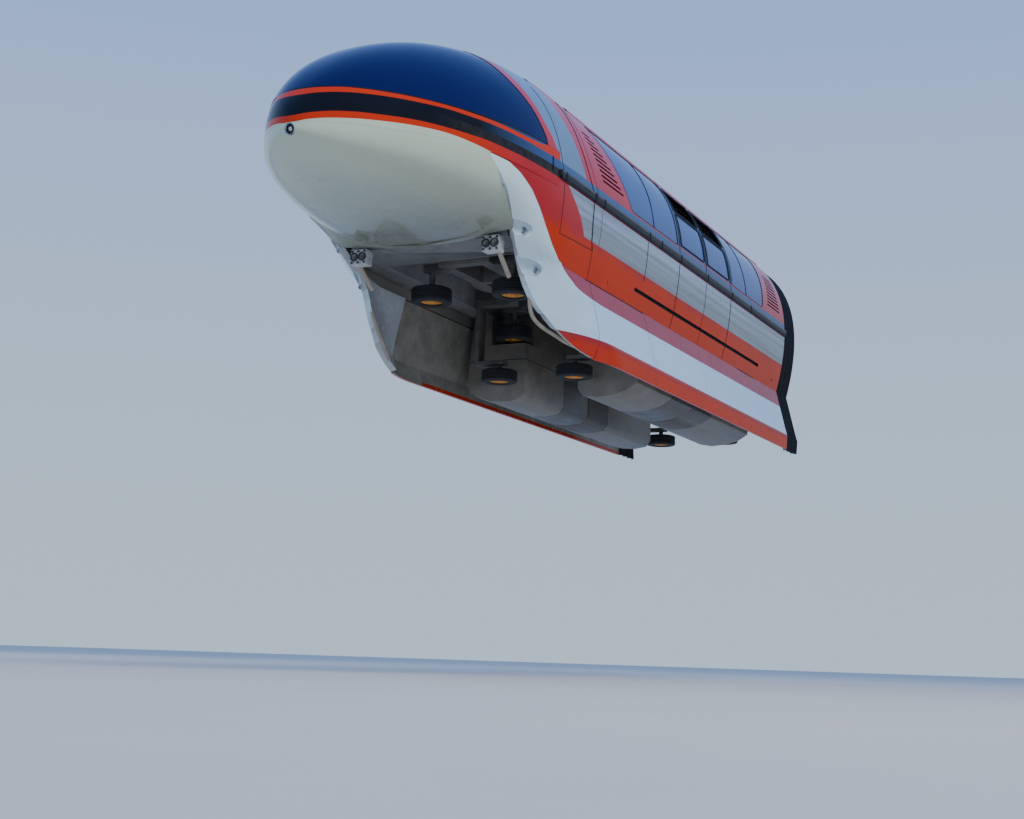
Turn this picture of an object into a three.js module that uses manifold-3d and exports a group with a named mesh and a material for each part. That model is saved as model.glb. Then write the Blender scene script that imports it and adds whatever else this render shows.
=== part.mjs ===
// Leading car of a straddle-beam monorail train.
// Millimetres, +X forward, +Y to the car's left, +Z up. The origin is on the running surface of the
// beam, on its centre line, half way between the two bogie pivots.
import * as THREE from 'three';
import { mergeVertices } from 'three/addons/utils/BufferGeometryUtils.js';
import Module from 'manifold-3d';

const wasm = await Module();
wasm.setup();

// Driving dimensions
const GAP = 0.3;                 // between pieces that touch
const BEAM_HALF = 254;           // beam half width
const HALF_WIDTH = 1220;         // half width of the body at the belt
const BELT_Z = 785;
const ROOF_Z = 2060;
const ROOF_POWER = 2.3;          // roundness of the section above the belt
const REAR_X = -2840;            // rear end of the body, where the bellows starts
const BELLOWS_REAR_X = -3360;
const HOOP_X = 4600;             // joint between body sides and the cab's rear hoop
const SKIRT_FRONT_X = 3620;      // joint between skirt and front fin
const TONGUE_X = 5460;           // front tip of the body side, under the nose band
const BAND_LOW_Z = 665;          // lower edge of the nose band
const DOOR_FRONT_X = 1340;
const DOOR_MID_X = 420;
const DOOR_REAR_X = -500;
const WALL = 45;
const ROOF_THICK = 40;
const SKIRT_THICK = 28;
const FIN_THICK = 70;

// Nose: a rounded form whose plan, top and keel lines are power curves
const NOSE_START = 4170;
const NOSE_TIP = 7320;
const TIP_Z = 510;
const PLAN_POWERS = [2.3, 1.62];
const TOP_POWERS = [2.2, 1.9];
const KEEL_POWERS = [1.77, 1.66];
const BELLY_DEPTH = 700;
const BELLY_POWER = 2.8;
const NOSE_SKIN = 35;
const GLASS_SKIN = 15;

// Running gear
const BOGIE_X = [3100, -3100];
const LOAD_RADIUS = 280;
const LOAD_HALF = 150;
const GUIDE_RADIUS = 210;
const STEADY_RADIUS = 200;
const GUIDE_X = 950;             // upper guide wheels, on both sides of the pivot
const STEADY_X = -600;           // lower steadying wheels, from the pivot towards the car's middle
const RUN_GAP = 1.5;             // between a guide tyre and the beam
const GUIDE_Y = BEAM_HALF + GUIDE_RADIUS + RUN_GAP;
const STEADY_Y = BEAM_HALF + STEADY_RADIUS + RUN_GAP;
const GUIDE_Z = -135;
const STEADY_Z = -690;
const PIN_RADIUS = 29.1;
const BORE_RADIUS = 30;
const BORE_DEPTH_SHARE = 0.45;   // a guide wheel's bore ends this share of its half width below its centre
const WHEEL_SIDES = 16;
const PIN_SIDES = 12;
const RING_INNER = 400;
const RING_OUTER = 470;
const FRAME_TOP = 300;
const RING_Z = 345;              // joint of the slewing ring
const RING_SIDES = 18;

// Floor and what stands on it
const FLOOR_LOW = 120;
const FLOOR_TOP = 170;
const HOUSING_HALF_X = 1300;
const HOUSING_HALF_Y = 820;
const HOUSING_TOP = 620;
const SHEET = 20;
const ROOT = 20;                 // how far a joined piece reaches into its carrier

// How far cutting tools reach: through the left side, across the car, and above the roof
const SIDE_REACH = [700, 1400];
const CAR_REACH = [-1500, 1500];
const TOOL_TOP = 2300;

// Colours
const RED = 0xd8401c;
const WHITE = 0xdfe6e2;
const SILVER = 0xb9c1c6;
const BLACK = 0x121316;
const GLASS = 0x16264a;
const GREY = 0x8d8a80;
const DARK = 0x2b2c2e;
const SEAT = 0x2d3f63;
const YELLOW = 0xd99a1e;

const train = new THREE.Group();

// Solids
function solidOf(geometry) {
  const bare = geometry.clone();
  bare.deleteAttribute('normal');
  bare.deleteAttribute('uv');
  const merged = mergeVertices(bare, 1e-3);
  const points = merged.attributes.position.array;
  const at = (i) => new THREE.Vector3().fromArray(points, 3 * i);
  const corners = [];
  let volume = 0;
  for (let t = 0; t < merged.index.count; t += 3) {
    const [a, b, c] = [0, 1, 2].map((j) => merged.index.getX(t + j));
    if (a === b || b === c || c === a) continue;
    corners.push([a, b, c]);
    volume += at(a).dot(at(b).cross(at(c)));
  }
  const facing = volume < 0 ? corners.map(([a, b, c]) => [a, c, b]) : corners;
  return new wasm.Manifold(new wasm.Mesh({
    numProp: 3,
    vertProperties: new Float32Array(points),
    triVerts: new Uint32Array(facing.flat()),
  }));
}

function geometryOf(solid) {
  const mesh = solid.getMesh();
  const geometry = new THREE.BufferGeometry();
  geometry.setAttribute('position', new THREE.BufferAttribute(new Float32Array(mesh.vertProperties), 3));
  geometry.setIndex(new THREE.BufferAttribute(new Uint32Array(mesh.triVerts), 1));
  return geometry;
}

function mirrored(solid) {
  const geometry = geometryOf(solid);
  geometry.scale(1, -1, 1);
  return solidOf(geometry);
}

function join(...solids) {
  return solids.reduce((sum, solid) => sum.add(solid));
}

function cut(solid, ...tools) {
  return tools.reduce((rest, tool) => rest.subtract(tool), solid);
}

function box(x0, x1, y0, y1, z0, z1) {
  const geometry = new THREE.BoxGeometry(x1 - x0, y1 - y0, z1 - z0);
  geometry.translate((x0 + x1) / 2, (y0 + y1) / 2, (z0 + z1) / 2);
  return solidOf(geometry);
}

// Prisms: an outline in the plane across the named axis, from low to high along it
function prism(outline, low, high, axis) {
  const shape = new THREE.Shape(outline.map(([u, v]) => new THREE.Vector2(u, v)));
  const geometry = new THREE.ExtrudeGeometry(shape, { depth: high - low, bevelEnabled: false });
  const place = new THREE.Matrix4();
  if (axis === 'x') {
    place.makeBasis(new THREE.Vector3(0, 1, 0), new THREE.Vector3(0, 0, 1), new THREE.Vector3(1, 0, 0));
    place.setPosition(low, 0, 0);
  } else if (axis === 'y') {
    place.makeBasis(new THREE.Vector3(1, 0, 0), new THREE.Vector3(0, 0, 1), new THREE.Vector3(0, -1, 0));
    place.setPosition(0, high, 0);
  } else {
    place.setPosition(0, 0, low);
  }
  return solidOf(geometry.applyMatrix4(place));
}

function cylinder(axis, centre, radius, length, sides = WHEEL_SIDES) {
  const geometry = new THREE.CylinderGeometry(radius, radius, length, sides);
  if (axis === 'x') geometry.rotateZ(Math.PI / 2);
  if (axis === 'z') geometry.rotateX(Math.PI / 2);
  geometry.translate(...centre);
  return solidOf(geometry);
}

// A rod between two points
function rod(from, to, radius, sides = 10) {
  const start = new THREE.Vector3(...from);
  const end = new THREE.Vector3(...to);
  const line = end.clone().sub(start);
  const geometry = new THREE.CylinderGeometry(radius, radius, line.length(), sides);
  geometry.applyQuaternion(new THREE.Quaternion().setFromUnitVectors(
    new THREE.Vector3(0, 1, 0), line.clone().normalize()));
  const middle = start.add(end).multiplyScalar(0.5);
  geometry.translate(middle.x, middle.y, middle.z);
  return solidOf(geometry);
}

// A turned piece about the Z axis, from a profile of [radius, z]
function turned(profile, sides = WHEEL_SIDES) {
  const geometry = new THREE.LatheGeometry(profile.map(([r, z]) => new THREE.Vector2(r, z)), sides);
  geometry.rotateX(Math.PI / 2);
  return solidOf(geometry);
}

// A closed skin from two matching grids of points, outer and inner
function skin(outer, inner) {
  const rows = outer.length;
  const columns = outer[0].length;
  const points = [...outer.flat(), ...inner.flat()];
  const index = (side, i, k) => side * rows * columns + i * columns + k;
  const faces = [];
  const quad = (a, b, c, d) => faces.push(a, b, c, a, c, d);
  for (let i = 0; i + 1 < rows; i += 1) {
    for (let k = 0; k + 1 < columns; k += 1) {
      quad(index(0, i, k), index(0, i + 1, k), index(0, i + 1, k + 1), index(0, i, k + 1));
      quad(index(1, i, k), index(1, i, k + 1), index(1, i + 1, k + 1), index(1, i + 1, k));
    }
    quad(index(0, i, 0), index(1, i, 0), index(1, i + 1, 0), index(0, i + 1, 0));
    const last = columns - 1;
    quad(index(0, i, last), index(0, i + 1, last), index(1, i + 1, last), index(1, i, last));
  }
  for (let k = 0; k + 1 < columns; k += 1) {
    quad(index(0, 0, k), index(0, 0, k + 1), index(1, 0, k + 1), index(1, 0, k));
    const end = rows - 1;
    quad(index(0, end, k), index(1, end, k), index(1, end, k + 1), index(0, end, k + 1));
  }
  const geometry = new THREE.BufferGeometry();
  geometry.setAttribute('position', new THREE.Float32BufferAttribute(points.flat(), 3));
  geometry.setIndex(faces);
  return solidOf(geometry);
}

// Body section

// Share of the full size that a nose curve keeps at a station
function fall(x, [inner, outer]) {
  const along = THREE.MathUtils.clamp((x - NOSE_START) / (NOSE_TIP - NOSE_START), 0, 1);
  return Math.pow(1 - Math.pow(along, inner), 1 / outer);
}

function beltZ(x) {
  const along = THREE.MathUtils.clamp((x - NOSE_START) / (NOSE_TIP - NOSE_START), 0, 1);
  return BELT_Z + (TIP_Z - BELT_Z) * along * along;
}

// The crease where body side and skirt meet: columns x, z, inset from the belt's half width
const CREASE = [
  [-4000, -10, 118], [4150, -10, 118], [4360, 20, 112], [4540, 130, 98], [4720, 270, 78],
  [4880, 400, 58], [5060, 520, 38], [5280, 610, 20], [5480, 656, 8], [5750, 660, 3],
];
// The skirt below the crease: columns z, inset
const SKIRT = [[-820, -33], [-640, -44], [-530, -12], [-225, 64]];
const SHOULDER_STEPS = [0.33, 0.66];  // points between the skirt's last bend and the crease, as shares
// Front edge of the fin, from its tip down to the skirt: columns x, z, how far it has turned inwards there
const FIN_FRONT = [
  [5750, 645, 0], [5660, 575, 3], [5570, 500, 8], [5430, 397, 36], [5280, 310, 95], [5130, 217, 155],
  [5000, 86, 205], [4850, -40, 240], [4730, -150, 255], [4610, -295, 258], [4500, -424, 258],
  [4360, -520, 246], [4240, -600, 232], [4110, -670, 205], [3930, -740, 160], [3775, -780, 120],
  [3620, -808, 80],
];
const TURN_REAR = [-820, 3050];       // height and station where the lower edge begins to turn inwards
const SIDE_STEPS = [0.75, 0.5, 0.25];
const SIDE_POWER = 1.8;
const UPPER_ANGLES = [0, 12, 24, 36, 47];
const ROOF_ANGLES = [60, 75, 90];
const CREASE_K = SKIRT.length + SHOULDER_STEPS.length;
const BELT_K = CREASE_K + SIDE_STEPS.length + 1;
const ROOF_EDGE_K = BELT_K + UPPER_ANGLES.length - 1;

function creaseAt(x) {
  const next = Math.max(1, CREASE.findIndex((row) => row[0] >= x));
  const [low, high] = [CREASE[next - 1], CREASE[next]];
  const share = (x - low[0]) / (high[0] - low[0]);
  return [1, 2].map((column) => THREE.MathUtils.lerp(low[column], high[column], share));
}

// The value at a place in a table, straight between its rows, whose places rise, and level beyond them
function tableAt(rows, place) {
  const next = rows.findIndex(([key]) => key >= place);
  if (next < 0) return rows[rows.length - 1][1];
  if (next === 0) return rows[0][1];
  return THREE.MathUtils.mapLinear(place, rows[next - 1][0], rows[next][0], rows[next - 1][1], rows[next][1]);
}

const TURN_START = [TURN_REAR, ...CREASE.slice(1).map(([x, z]) => [z, x])];
const EDGE_Z = FIN_FRONT.map(([x, z]) => [x, z]).reverse();
const EDGE_X = EDGE_Z.map(([x, z]) => [z, x]);
const EDGE_TURN = FIN_FRONT.map(([, z, turn]) => [z, turn]).reverse();
const TURN_LENGTH_MIN = 20;

// How far the fin has turned inwards at a station and height below the crease
function turnAt(x, z) {
  const start = tableAt(TURN_START, z);
  const share = (x - start) / Math.max(tableAt(EDGE_X, z) - start, TURN_LENGTH_MIN);
  return tableAt(EDGE_TURN, z) * THREE.MathUtils.clamp(share, 0, 1) ** 2;
}

// Left half of the section at a station, from the skirt's lower edge up to the roof's centre line. What
// would lie below the lowest height closes up into one point there.
function sectionAt(x, lowest = SKIRT[0][0]) {
  const half = HALF_WIDTH * fall(x, PLAN_POWERS);
  const belt = beltZ(x);
  const [creaseZ, creaseInset] = creaseAt(x);
  const fade = creaseInset / CREASE[0][2];
  const bends = SKIRT.map(([z, inset]) => [half - (inset > 0 ? inset * fade : inset), z]);
  const [lastY, lastZ] = bends[bends.length - 1];
  const shoulder = SHOULDER_STEPS.map((share) => [
    THREE.MathUtils.lerp(lastY, half - creaseInset, share), THREE.MathUtils.lerp(lastZ, creaseZ, share)]);
  const upright = [...bends, ...shoulder, [half - creaseInset, creaseZ]].map(([y, z]) => [z, y]);
  const skirt = upright.slice(0, -1).map(([z]) => Math.max(z, lowest))
    .map((z) => [tableAt(upright, z) - turnAt(x, z), z]);
  const side = SIDE_STEPS.map((step) => [
    half - creaseInset * Math.pow(step, SIDE_POWER), belt - step * (belt - creaseZ)]);
  const height = (ROOF_Z - BELT_Z) * fall(x, TOP_POWERS);
  const upper = [...UPPER_ANGLES, ...ROOF_ANGLES].map((degrees) => {
    const angle = THREE.MathUtils.degToRad(degrees);
    return [half * Math.pow(Math.max(Math.cos(angle), 0), 2 / ROOF_POWER) * (degrees < 90 ? 1 : 0),
      belt + height * Math.pow(Math.sin(angle), 2 / ROOF_POWER)];
  });
  return [...skirt, [half - creaseInset, creaseZ], ...side, ...upper];
}

// The same section moved inwards by a depth
function insetSection(section, depth) {
  return section.map(([y, z], k) => {
    const apart = ([u, v]) => u !== y || v !== z;
    const before = section.slice(0, k).findLast(apart) ?? section[k];
    const after = section.slice(k).find(apart) ?? section[k];
    const edges = [[y - before[0], z - before[1]], [after[0] - y, after[1] - z]]
      .filter(([u, v]) => Math.hypot(u, v) > 0)
      .map(([u, v]) => new THREE.Vector2(v, -u).normalize());
    if (k === section.length - 1) edges.push(new THREE.Vector2(0, 1));
    const normal = edges.reduce((sum, edge) => sum.clone().add(edge)).normalize();
    const stretch = 1 / Math.max(normal.dot(edges[0]), 0.7);
    return [k === section.length - 1 ? 0 : y - normal.x * depth * stretch, z - normal.y * depth * stretch];
  });
}

// A panel of the left side between two section points, from one depth to another. Its upper edge is lowered
// outside and inside by two drops.
function panel(stations, firstK, lastK, [outerDepth, innerDepth], drops = [0, 0],
  sectionOf = (x) => sectionAt(x)) {
  const grid = (depth, drop) => stations.map((x) => insetSection(sectionOf(x), depth)
    .slice(firstK, lastK + 1).map(([y, z], k, column) => [x, y, k === column.length - 1 ? z - drop : z]));
  return skin(grid(outerDepth, drops[0]), grid(innerDepth, drops[1]));
}

// Outer face of the left side at a station and height
function faceY(x, z) {
  const section = sectionAt(x);
  const next = Math.max(1, section.findIndex((point) => point[1] >= z));
  const [low, high] = [section[next - 1], section[next]];
  return THREE.MathUtils.mapLinear(z, low[1], high[1], low[0], high[0]);
}

// A panel that runs over the roof from side to side
function arch(stations, firstK, outerDepth, innerDepth) {
  const grid = (depth) => stations.map((x, i) => {
    const ripple = Array.isArray(depth) ? depth[i] : depth;
    const half = insetSection(sectionAt(x), ripple).slice(firstK);
    const right = half.slice(0, -1).reverse().map(([y, z]) => [-y, z]);
    return [...half, ...right].map(([y, z]) => [x, y, z]);
  });
  return skin(grid(outerDepth), grid(innerDepth));
}

const NOSE_STATIONS = [4500, 4720, 4950, 5200, 5480, 5800, 6160, 6480, 6750, 6970, 7130, 7235, 7295, 7320];
const RING_STEP = 12;

// The whole rounded nose as one closed skin, open only at its rear
function noseSkin(thickness) {
  const grid = (depth) => NOSE_STATIONS.map((x) => {
    const share = (x - NOSE_STATIONS[0]) / (NOSE_TIP - NOSE_STATIONS[0]);
    const half = (HALF_WIDTH - depth) * fall(x, PLAN_POWERS);
    const rise = (ROOF_Z - BELT_Z - depth) * fall(x, TOP_POWERS);
    const drop = (BELLY_DEPTH - depth) * fall(x, KEEL_POWERS);
    const ring = [];
    for (let degrees = -90; degrees <= 270; degrees += RING_STEP) {
      const angle = THREE.MathUtils.degToRad(degrees);
      const [c, s] = [Math.cos(angle), Math.sin(angle)];
      const power = 2 / (s > 0 ? ROOF_POWER : BELLY_POWER);
      const across = Math.abs(c) < 1e-9 ? 0 : Math.sign(c) * Math.pow(Math.abs(c), power);
      const up = Math.sign(s) * Math.pow(Math.abs(s), power);
      ring.push([x - depth * share, half * across, beltZ(x) + (s > 0 ? rise : drop) * up]);
    }
    return ring;
  });
  const outer = grid(0);
  const inner = grid(thickness);
  return skin(outer, inner);
}

// The window openings of the left side: columns name, front and rear x at the sill, the same at the head
const SILL_Z = 975;
const HEAD_Z = 1690;
const TRANSOM_Z = [1365, 1395];       // bar of a door window, with glass below it and an open vent above
const WINDOWS = [
  ['front_a', 2750, 2170, 3420, 2230],
  ['front_b', 2120, 1430, 2180, 1450],
  ['door_front', DOOR_FRONT_X - 60, DOOR_MID_X + 60, DOOR_FRONT_X - 60, DOOR_MID_X + 60],
  ['door_rear', DOOR_MID_X - 60, DOOR_REAR_X + 60, DOOR_MID_X - 60, DOOR_REAR_X + 60],
  ['rear_a', -590, -1110, -590, -1090],
  ['rear_b', -1160, -1800, -1140, -2060],
];
const GLASS_DEPTH = 12;
const GLASS_THICK = 8;
const REBATE = 34;

function windowPrism([, sillFront, sillRear, headFront, headRear], grow) {
  return prism([
    [sillRear - grow, SILL_Z - grow], [sillFront + grow, SILL_Z - grow],
    [headFront + grow, HEAD_Z + grow], [headRear - grow, HEAD_Z + grow],
  ], ...SIDE_REACH, 'y');
}

const transom = box(DOOR_REAR_X, DOOR_FRONT_X, ...SIDE_REACH, ...TRANSOM_Z);
const GLASS_HEAD = TRANSOM_Z[1] - 8;
const belowVent = (clear) => box(DOOR_REAR_X, DOOR_FRONT_X, ...SIDE_REACH, SILL_Z - 100, GLASS_HEAD - clear);
const isDoor = ([name]) => name.startsWith('door');

// Grille slots ahead of the first window and behind the last: columns front x and rear x at the lowest
// slot, front x and rear x at the highest
const GRILLES = [[3560, 3010, 3820, 3620], [-2080, -2640, -2280, -2640]];
const SLOT_COUNT = 10;
const SLOT_LOW = 1040;
const SLOT_PITCH = 50;
const SLOT_HEIGHT = 22;

function grilleSlots([lowFront, lowRear, highFront, highRear]) {
  const slots = [];
  for (let i = 0; i < SLOT_COUNT; i += 1) {
    const share = i / (SLOT_COUNT - 1);
    const front = THREE.MathUtils.lerp(lowFront, highFront, share);
    const rear = THREE.MathUtils.lerp(lowRear, highRear, share);
    const z = SLOT_LOW + i * SLOT_PITCH;
    slots.push(box(rear, front, ...SIDE_REACH, z, z + SLOT_HEIGHT));
  }
  return slots;
}

// Long slot of the door track, a groove in the outer face
const DOOR_TRACK = box(-1870, 2520, 1118, SIDE_REACH[1], 150, 190);

// Stations between the crease's own, where the fin turns and the nose narrows
const NEAR_STATIONS = [3780, 3940, 4050, 4250, 4450, 4630, 4970, 5170];

function sideStations(rear, front) {
  const inner = [...CREASE.map(([x]) => x), ...NEAR_STATIONS].filter((x) => x > rear && x < front);
  return [rear, ...inner.sort((a, b) => a - b), front];
}

// The rubbing strip along the widest line, standing out of the side
const RAIL_OUT = 26;
const RAIL_LOW = 735;
const RAIL_HIGH = 845;
function beltRail(rear, front) {
  const grid = (out) => sideStations(rear, front).map((x) => {
    const y = HALF_WIDTH * fall(x, PLAN_POWERS);
    return [[x, y + out * 0.6, RAIL_LOW], [x, y + out, RAIL_LOW + 20], [x, y + out, RAIL_HIGH - 20],
      [x, y + out * 0.6, RAIL_HIGH]];
  });
  return skin(grid(RAIL_OUT), grid(-20));
}

// One upright part of the left side between two stations, with its windows and their glass rebate
function sidePiece(rear, front, windows, extras) {
  const stations = sideStations(rear, front);
  const wall = panel(stations, CREASE_K, ROOF_EDGE_K, [0, WALL], [GAP, GAP]);
  const rebateSkin = panel(stations, BELT_K, ROOF_EDGE_K, [GLASS_DEPTH, WALL + 5]);
  const laps = windows.map((row) => (isDoor(row)
    ? windowPrism(row, REBATE).intersect(belowVent(0)) : windowPrism(row, REBATE)));
  const rebates = laps.map((lap) => rebateSkin.intersect(lap));
  const holes = windows.map((row) => (isDoor(row) ? cut(windowPrism(row, 0), transom) : windowPrism(row, 0)));
  const rail = beltRail(rear, Math.min(front, HOOP_X - GAP));
  return join(cut(wall, ...rebates, ...holes, ...extras), rail);
}

function glassPiece(windows) {
  const stations = [-2800, 4100];
  const sheet = panel(stations, BELT_K, ROOF_EDGE_K, [GLASS_DEPTH + GAP, GLASS_DEPTH + GLASS_THICK]);
  const outlines = windows.map((row) => windowPrism(row, REBATE - 2 * GAP));
  const pane = sheet.intersect(join(...outlines));
  return isDoor(windows[0]) ? pane.intersect(belowVent(GAP)) : pane;
}

// Materials and nodes
function add(name, solid, colour, roughness = 0.4, metalness = 0, parent = train) {
  const material = new THREE.MeshStandardMaterial({ color: colour, roughness, metalness });
  const mesh = new THREE.Mesh(geometryOf(solid), material);
  mesh.name = name;
  parent.add(mesh);
  return mesh;
}

function addPair(name, leftSolid, colour, roughness, metalness) {
  add(`${name}_left`, leftSolid, colour, roughness, metalness);
  add(`${name}_right`, mirrored(leftSolid), colour, roughness, metalness);
}

const row = Object.fromEntries(WINDOWS.map((window) => [window[0], window]));

// Body sides, doors and their glass
const NOTCH = box(HOOP_X - GAP, NOSE_TIP, 0, SIDE_REACH[1], BAND_LOW_Z, TOOL_TOP);
const TIP_CUT = box(TONGUE_X, NOSE_TIP, 0, SIDE_REACH[1], 0, TOOL_TOP);
addPair('side_front', sidePiece(DOOR_FRONT_X + GAP, 5750, [row.front_a, row.front_b],
  [NOTCH, TIP_CUT, DOOR_TRACK, ...grilleSlots(GRILLES[0])]), RED, 0.25);
addPair('side_rear', sidePiece(REAR_X, DOOR_REAR_X - GAP, [row.rear_a, row.rear_b],
  [DOOR_TRACK, ...grilleSlots(GRILLES[1])]), RED, 0.25);
addPair('door_leaf_front', sidePiece(DOOR_MID_X + GAP, DOOR_FRONT_X - GAP, [row.door_front], [DOOR_TRACK]),
  RED, 0.25);
addPair('door_leaf_rear', sidePiece(DOOR_REAR_X + GAP, DOOR_MID_X - GAP, [row.door_rear], [DOOR_TRACK]),
  RED, 0.25);
addPair('glass_front', glassPiece([row.front_a, row.front_b]), GLASS, 0.1);
addPair('glass_rear', glassPiece([row.rear_a, row.rear_b]), GLASS, 0.1);
addPair('glass_door_front', glassPiece([row.door_front]), GLASS, 0.1);
addPair('glass_door_rear', glassPiece([row.door_rear]), GLASS, 0.1);

// Skirts and fins
const EDGE_DROP = [1.6, 4.8];    // lowers the upper edge of skirt and fin clear of the side, out and inside
const SKIRT_STATIONS = [REAR_X, TURN_REAR[1], 3250, 3450, SKIRT_FRONT_X - GAP];
addPair('skirt', panel(SKIRT_STATIONS, 0, CREASE_K, [0, SKIRT_THICK], EDGE_DROP), WHITE, 0.3);

// Lamp scoops, half domes with a flat floor, open at the fin's front edge: columns x at the edge, z of
// the floor, length, height, x of the lamp's lens
const SCOOPS = [[5060, 112, 200, 148, 4965], [4745, -176, 245, 158, 4600]];
const SCOOP_DEPTH = 56;
const LAMP_RADIUS = 30;
const LAMP_LENGTH = 90;
const LAMP_RISE = 50;
const LAMP_SIDES = 12;

function scoop(x, z, length, height) {
  const middle = z + height / 2;
  const ball = new THREE.SphereGeometry(1, 16, 10);
  ball.rotateX(Math.PI / 2);
  ball.scale(length, SCOOP_DEPTH, height);
  ball.rotateZ(Math.atan2(faceY(x, middle) - faceY(x - length, middle), length));
  ball.translate(x, faceY(x, middle), z);
  return solidOf(ball).intersect(box(x - 2 * length, x + 2 * length, ...SIDE_REACH, z, z + 2 * height));
}

// Tube that carries the fin's lower corner from behind: its bends as x, y, z
const FIN_TUBE = [[4600, 930, -130], [4430, 870, -516], [4050, 985, -670], [3850, 1070, -722]];
const TUBE_RADIUS = 20;

const FIN_STATIONS = sideStations(SKIRT_FRONT_X, FIN_FRONT[0][0]);
function finPiece() {
  const plate = panel(FIN_STATIONS, 0, CREASE_K, [0, FIN_THICK], EDGE_DROP,
    (x) => sectionAt(x, tableAt(EDGE_Z, x)));
  const scoops = SCOOPS.map(([x, z, length, height]) => scoop(x, z, length, height));
  const lamps = SCOOPS.map(([, z, , , lens]) => cylinder('x', [lens - LAMP_LENGTH / 2,
    faceY(lens - LAMP_LENGTH, z) - LAMP_RADIUS, z + LAMP_RISE], LAMP_RADIUS, LAMP_LENGTH, LAMP_SIDES));
  const tubes = FIN_TUBE.slice(1).map((bend, i) => rod(FIN_TUBE[i], bend, TUBE_RADIUS, 8));
  return join(cut(plate, ...scoops), ...lamps, ...tubes);
}
addPair('fin', finPiece(), WHITE, 0.3);

// Nose: canopy, hoop, band and belly cut from one rounded skin

// Rear edge of the canopy glass above the band: columns x, z
const CANOPY_REAR_X = 4845;
const CANOPY_EDGE = [[4850, 1060], [4890, 1130], [5000, 1290], [5120, 1430], [5240, 1570],
  [5310, 1720], [5335, 1850], [5345, TOOL_TOP]];
// Lower edge of the glass, and the joint of band and belly, both falling slightly towards the tip. They run
// out ahead of it.
const NOSE_END = [7500, 530];
const GLASS_LINE = [[4500, 1020], [5600, 992], [6150, 958], [6600, 932], [7000, 905], [NOSE_END[0], 872]];
const BELLY_LINE = [[4500, BAND_LOW_Z], [5750, BAND_LOW_Z], NOSE_END];
const BELLY_START = [[4980, -300], [4980, 200]];
const BELLY_FIN_X = 5130;        // the belly's rear edge follows the fin's front edge from here on
const BELLY_CLEAR = 1;           // between the fin's front edge and the belly's rear edge
const BELLY_TOP_X = FIN_FRONT[0][0] + BELLY_CLEAR;

function raised(line, amount) {
  return line.map(([x, z]) => [x, z + amount]);
}

function shifted(line, amount) {
  return line.map(([x, z]) => [x + amount, z]);
}

const glassLineAt = (x) => tableAt(GLASS_LINE, x);
const glassCorner = [CANOPY_REAR_X, glassLineAt(CANOPY_REAR_X)];
const canopyRegion = (back) => prism([...shifted([glassCorner], back), ...GLASS_LINE.slice(1),
  [NOSE_END[0], TOOL_TOP], ...shifted(CANOPY_EDGE, back).reverse()], ...CAR_REACH, 'y');
const shell = noseSkin(NOSE_SKIN);
add('canopy', noseSkin(GLASS_SKIN).intersect(canopyRegion(GAP)), GLASS, 0.08);
add('cab_hoop', shell.intersect(prism([[HOOP_X, glassLineAt(HOOP_X) + GAP], ...raised([glassCorner], GAP),
  ...CANOPY_EDGE, [HOOP_X, TOOL_TOP]], ...CAR_REACH, 'y')), RED, 0.25);
add('nose_band', shell.intersect(prism([[HOOP_X, BAND_LOW_Z + GAP], ...raised(BELLY_LINE.slice(1), GAP),
  ...raised(GLASS_LINE.slice(1), -GAP).reverse(), [HOOP_X, glassLineAt(HOOP_X) - GAP]], ...CAR_REACH, 'y')),
BLACK, 0.15);
const finEdge = FIN_STATIONS.filter((x) => x > BELLY_FIN_X).map((x) => [x, tableAt(EDGE_Z, x)]);
add('belly', shell.intersect(prism([...BELLY_START, ...shifted(finEdge, BELLY_CLEAR),
  [BELLY_TOP_X, BAND_LOW_Z], NOSE_END, [NOSE_END[0], BELLY_START[0][1]]], ...CAR_REACH, 'y')), WHITE, 0.35);

// Roof with its two raised ribs
const RIB_WIDTH = 46;
const RIB_HEIGHT = 26;
const RIB_Y = 790;
const RIB_LOW = 1805;
const RIB_RISE = 50;             // the roof's rise under a rib's width
const RIB_FRONT_X = 4560;
const RIB_STEP_X = 3640;
const RIB_STEP_HEIGHT = 10;
function roofPiece() {
  const shellRoof = arch(sideStations(REAR_X, HOOP_X - GAP), ROOF_EDGE_K, 0, ROOF_THICK);
  const lengths = [[REAR_X, RIB_STEP_X, RIB_HEIGHT], [RIB_STEP_X, RIB_FRONT_X, RIB_STEP_HEIGHT]];
  const ribs = [1, -1].flatMap((side) => lengths.map(([rear, front, height]) => {
    const outline = [[RIB_Y - RIB_WIDTH, RIB_LOW + RIB_RISE], [RIB_Y, RIB_LOW],
      [RIB_Y + RIB_WIDTH * 0.6, RIB_LOW + height], [RIB_Y - RIB_WIDTH * 0.4, RIB_LOW + RIB_RISE + height]];
    return prism(outline.map(([y, z]) => [side * y, z]), rear, front, 'x');
  }));
  return join(shellRoof, ...ribs);
}
add('roof', roofPiece(), RED, 0.25);

// Floor, wheel housings and bulkheads

// Plan of the floor's left half, narrower beside the fins: columns x, y
const FLOOR_PLAN = [[REAR_X, 1083], [4150, 1083], [4330, 1040], [4560, 1010], [4950, 880]];
const FLOOR_FRONT_X = 4950;
const FLOOR_LIP = [28, 860, 429.7];  // upright plate at the front end: thickness, half width, top
function floorPiece() {
  const right = FLOOR_PLAN.map(([x, y]) => [x, -y]);
  const plate = prism([...right, ...FLOOR_PLAN.slice().reverse()], FLOOR_LOW, FLOOR_TOP, 'z');
  const [thick, half, top] = FLOOR_LIP;
  const bulkhead = box(FLOOR_FRONT_X, FLOOR_FRONT_X + thick, -half, half, FLOOR_LOW, top);
  const openings = BOGIE_X.map((x) => box(x - HOUSING_HALF_X, x + HOUSING_HALF_X,
    -HOUSING_HALF_Y, HOUSING_HALF_Y, 0, 400));
  return cut(join(plate, bulkhead), ...openings);
}
add('floor', floorPiece(), GREY, 0.6);

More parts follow.
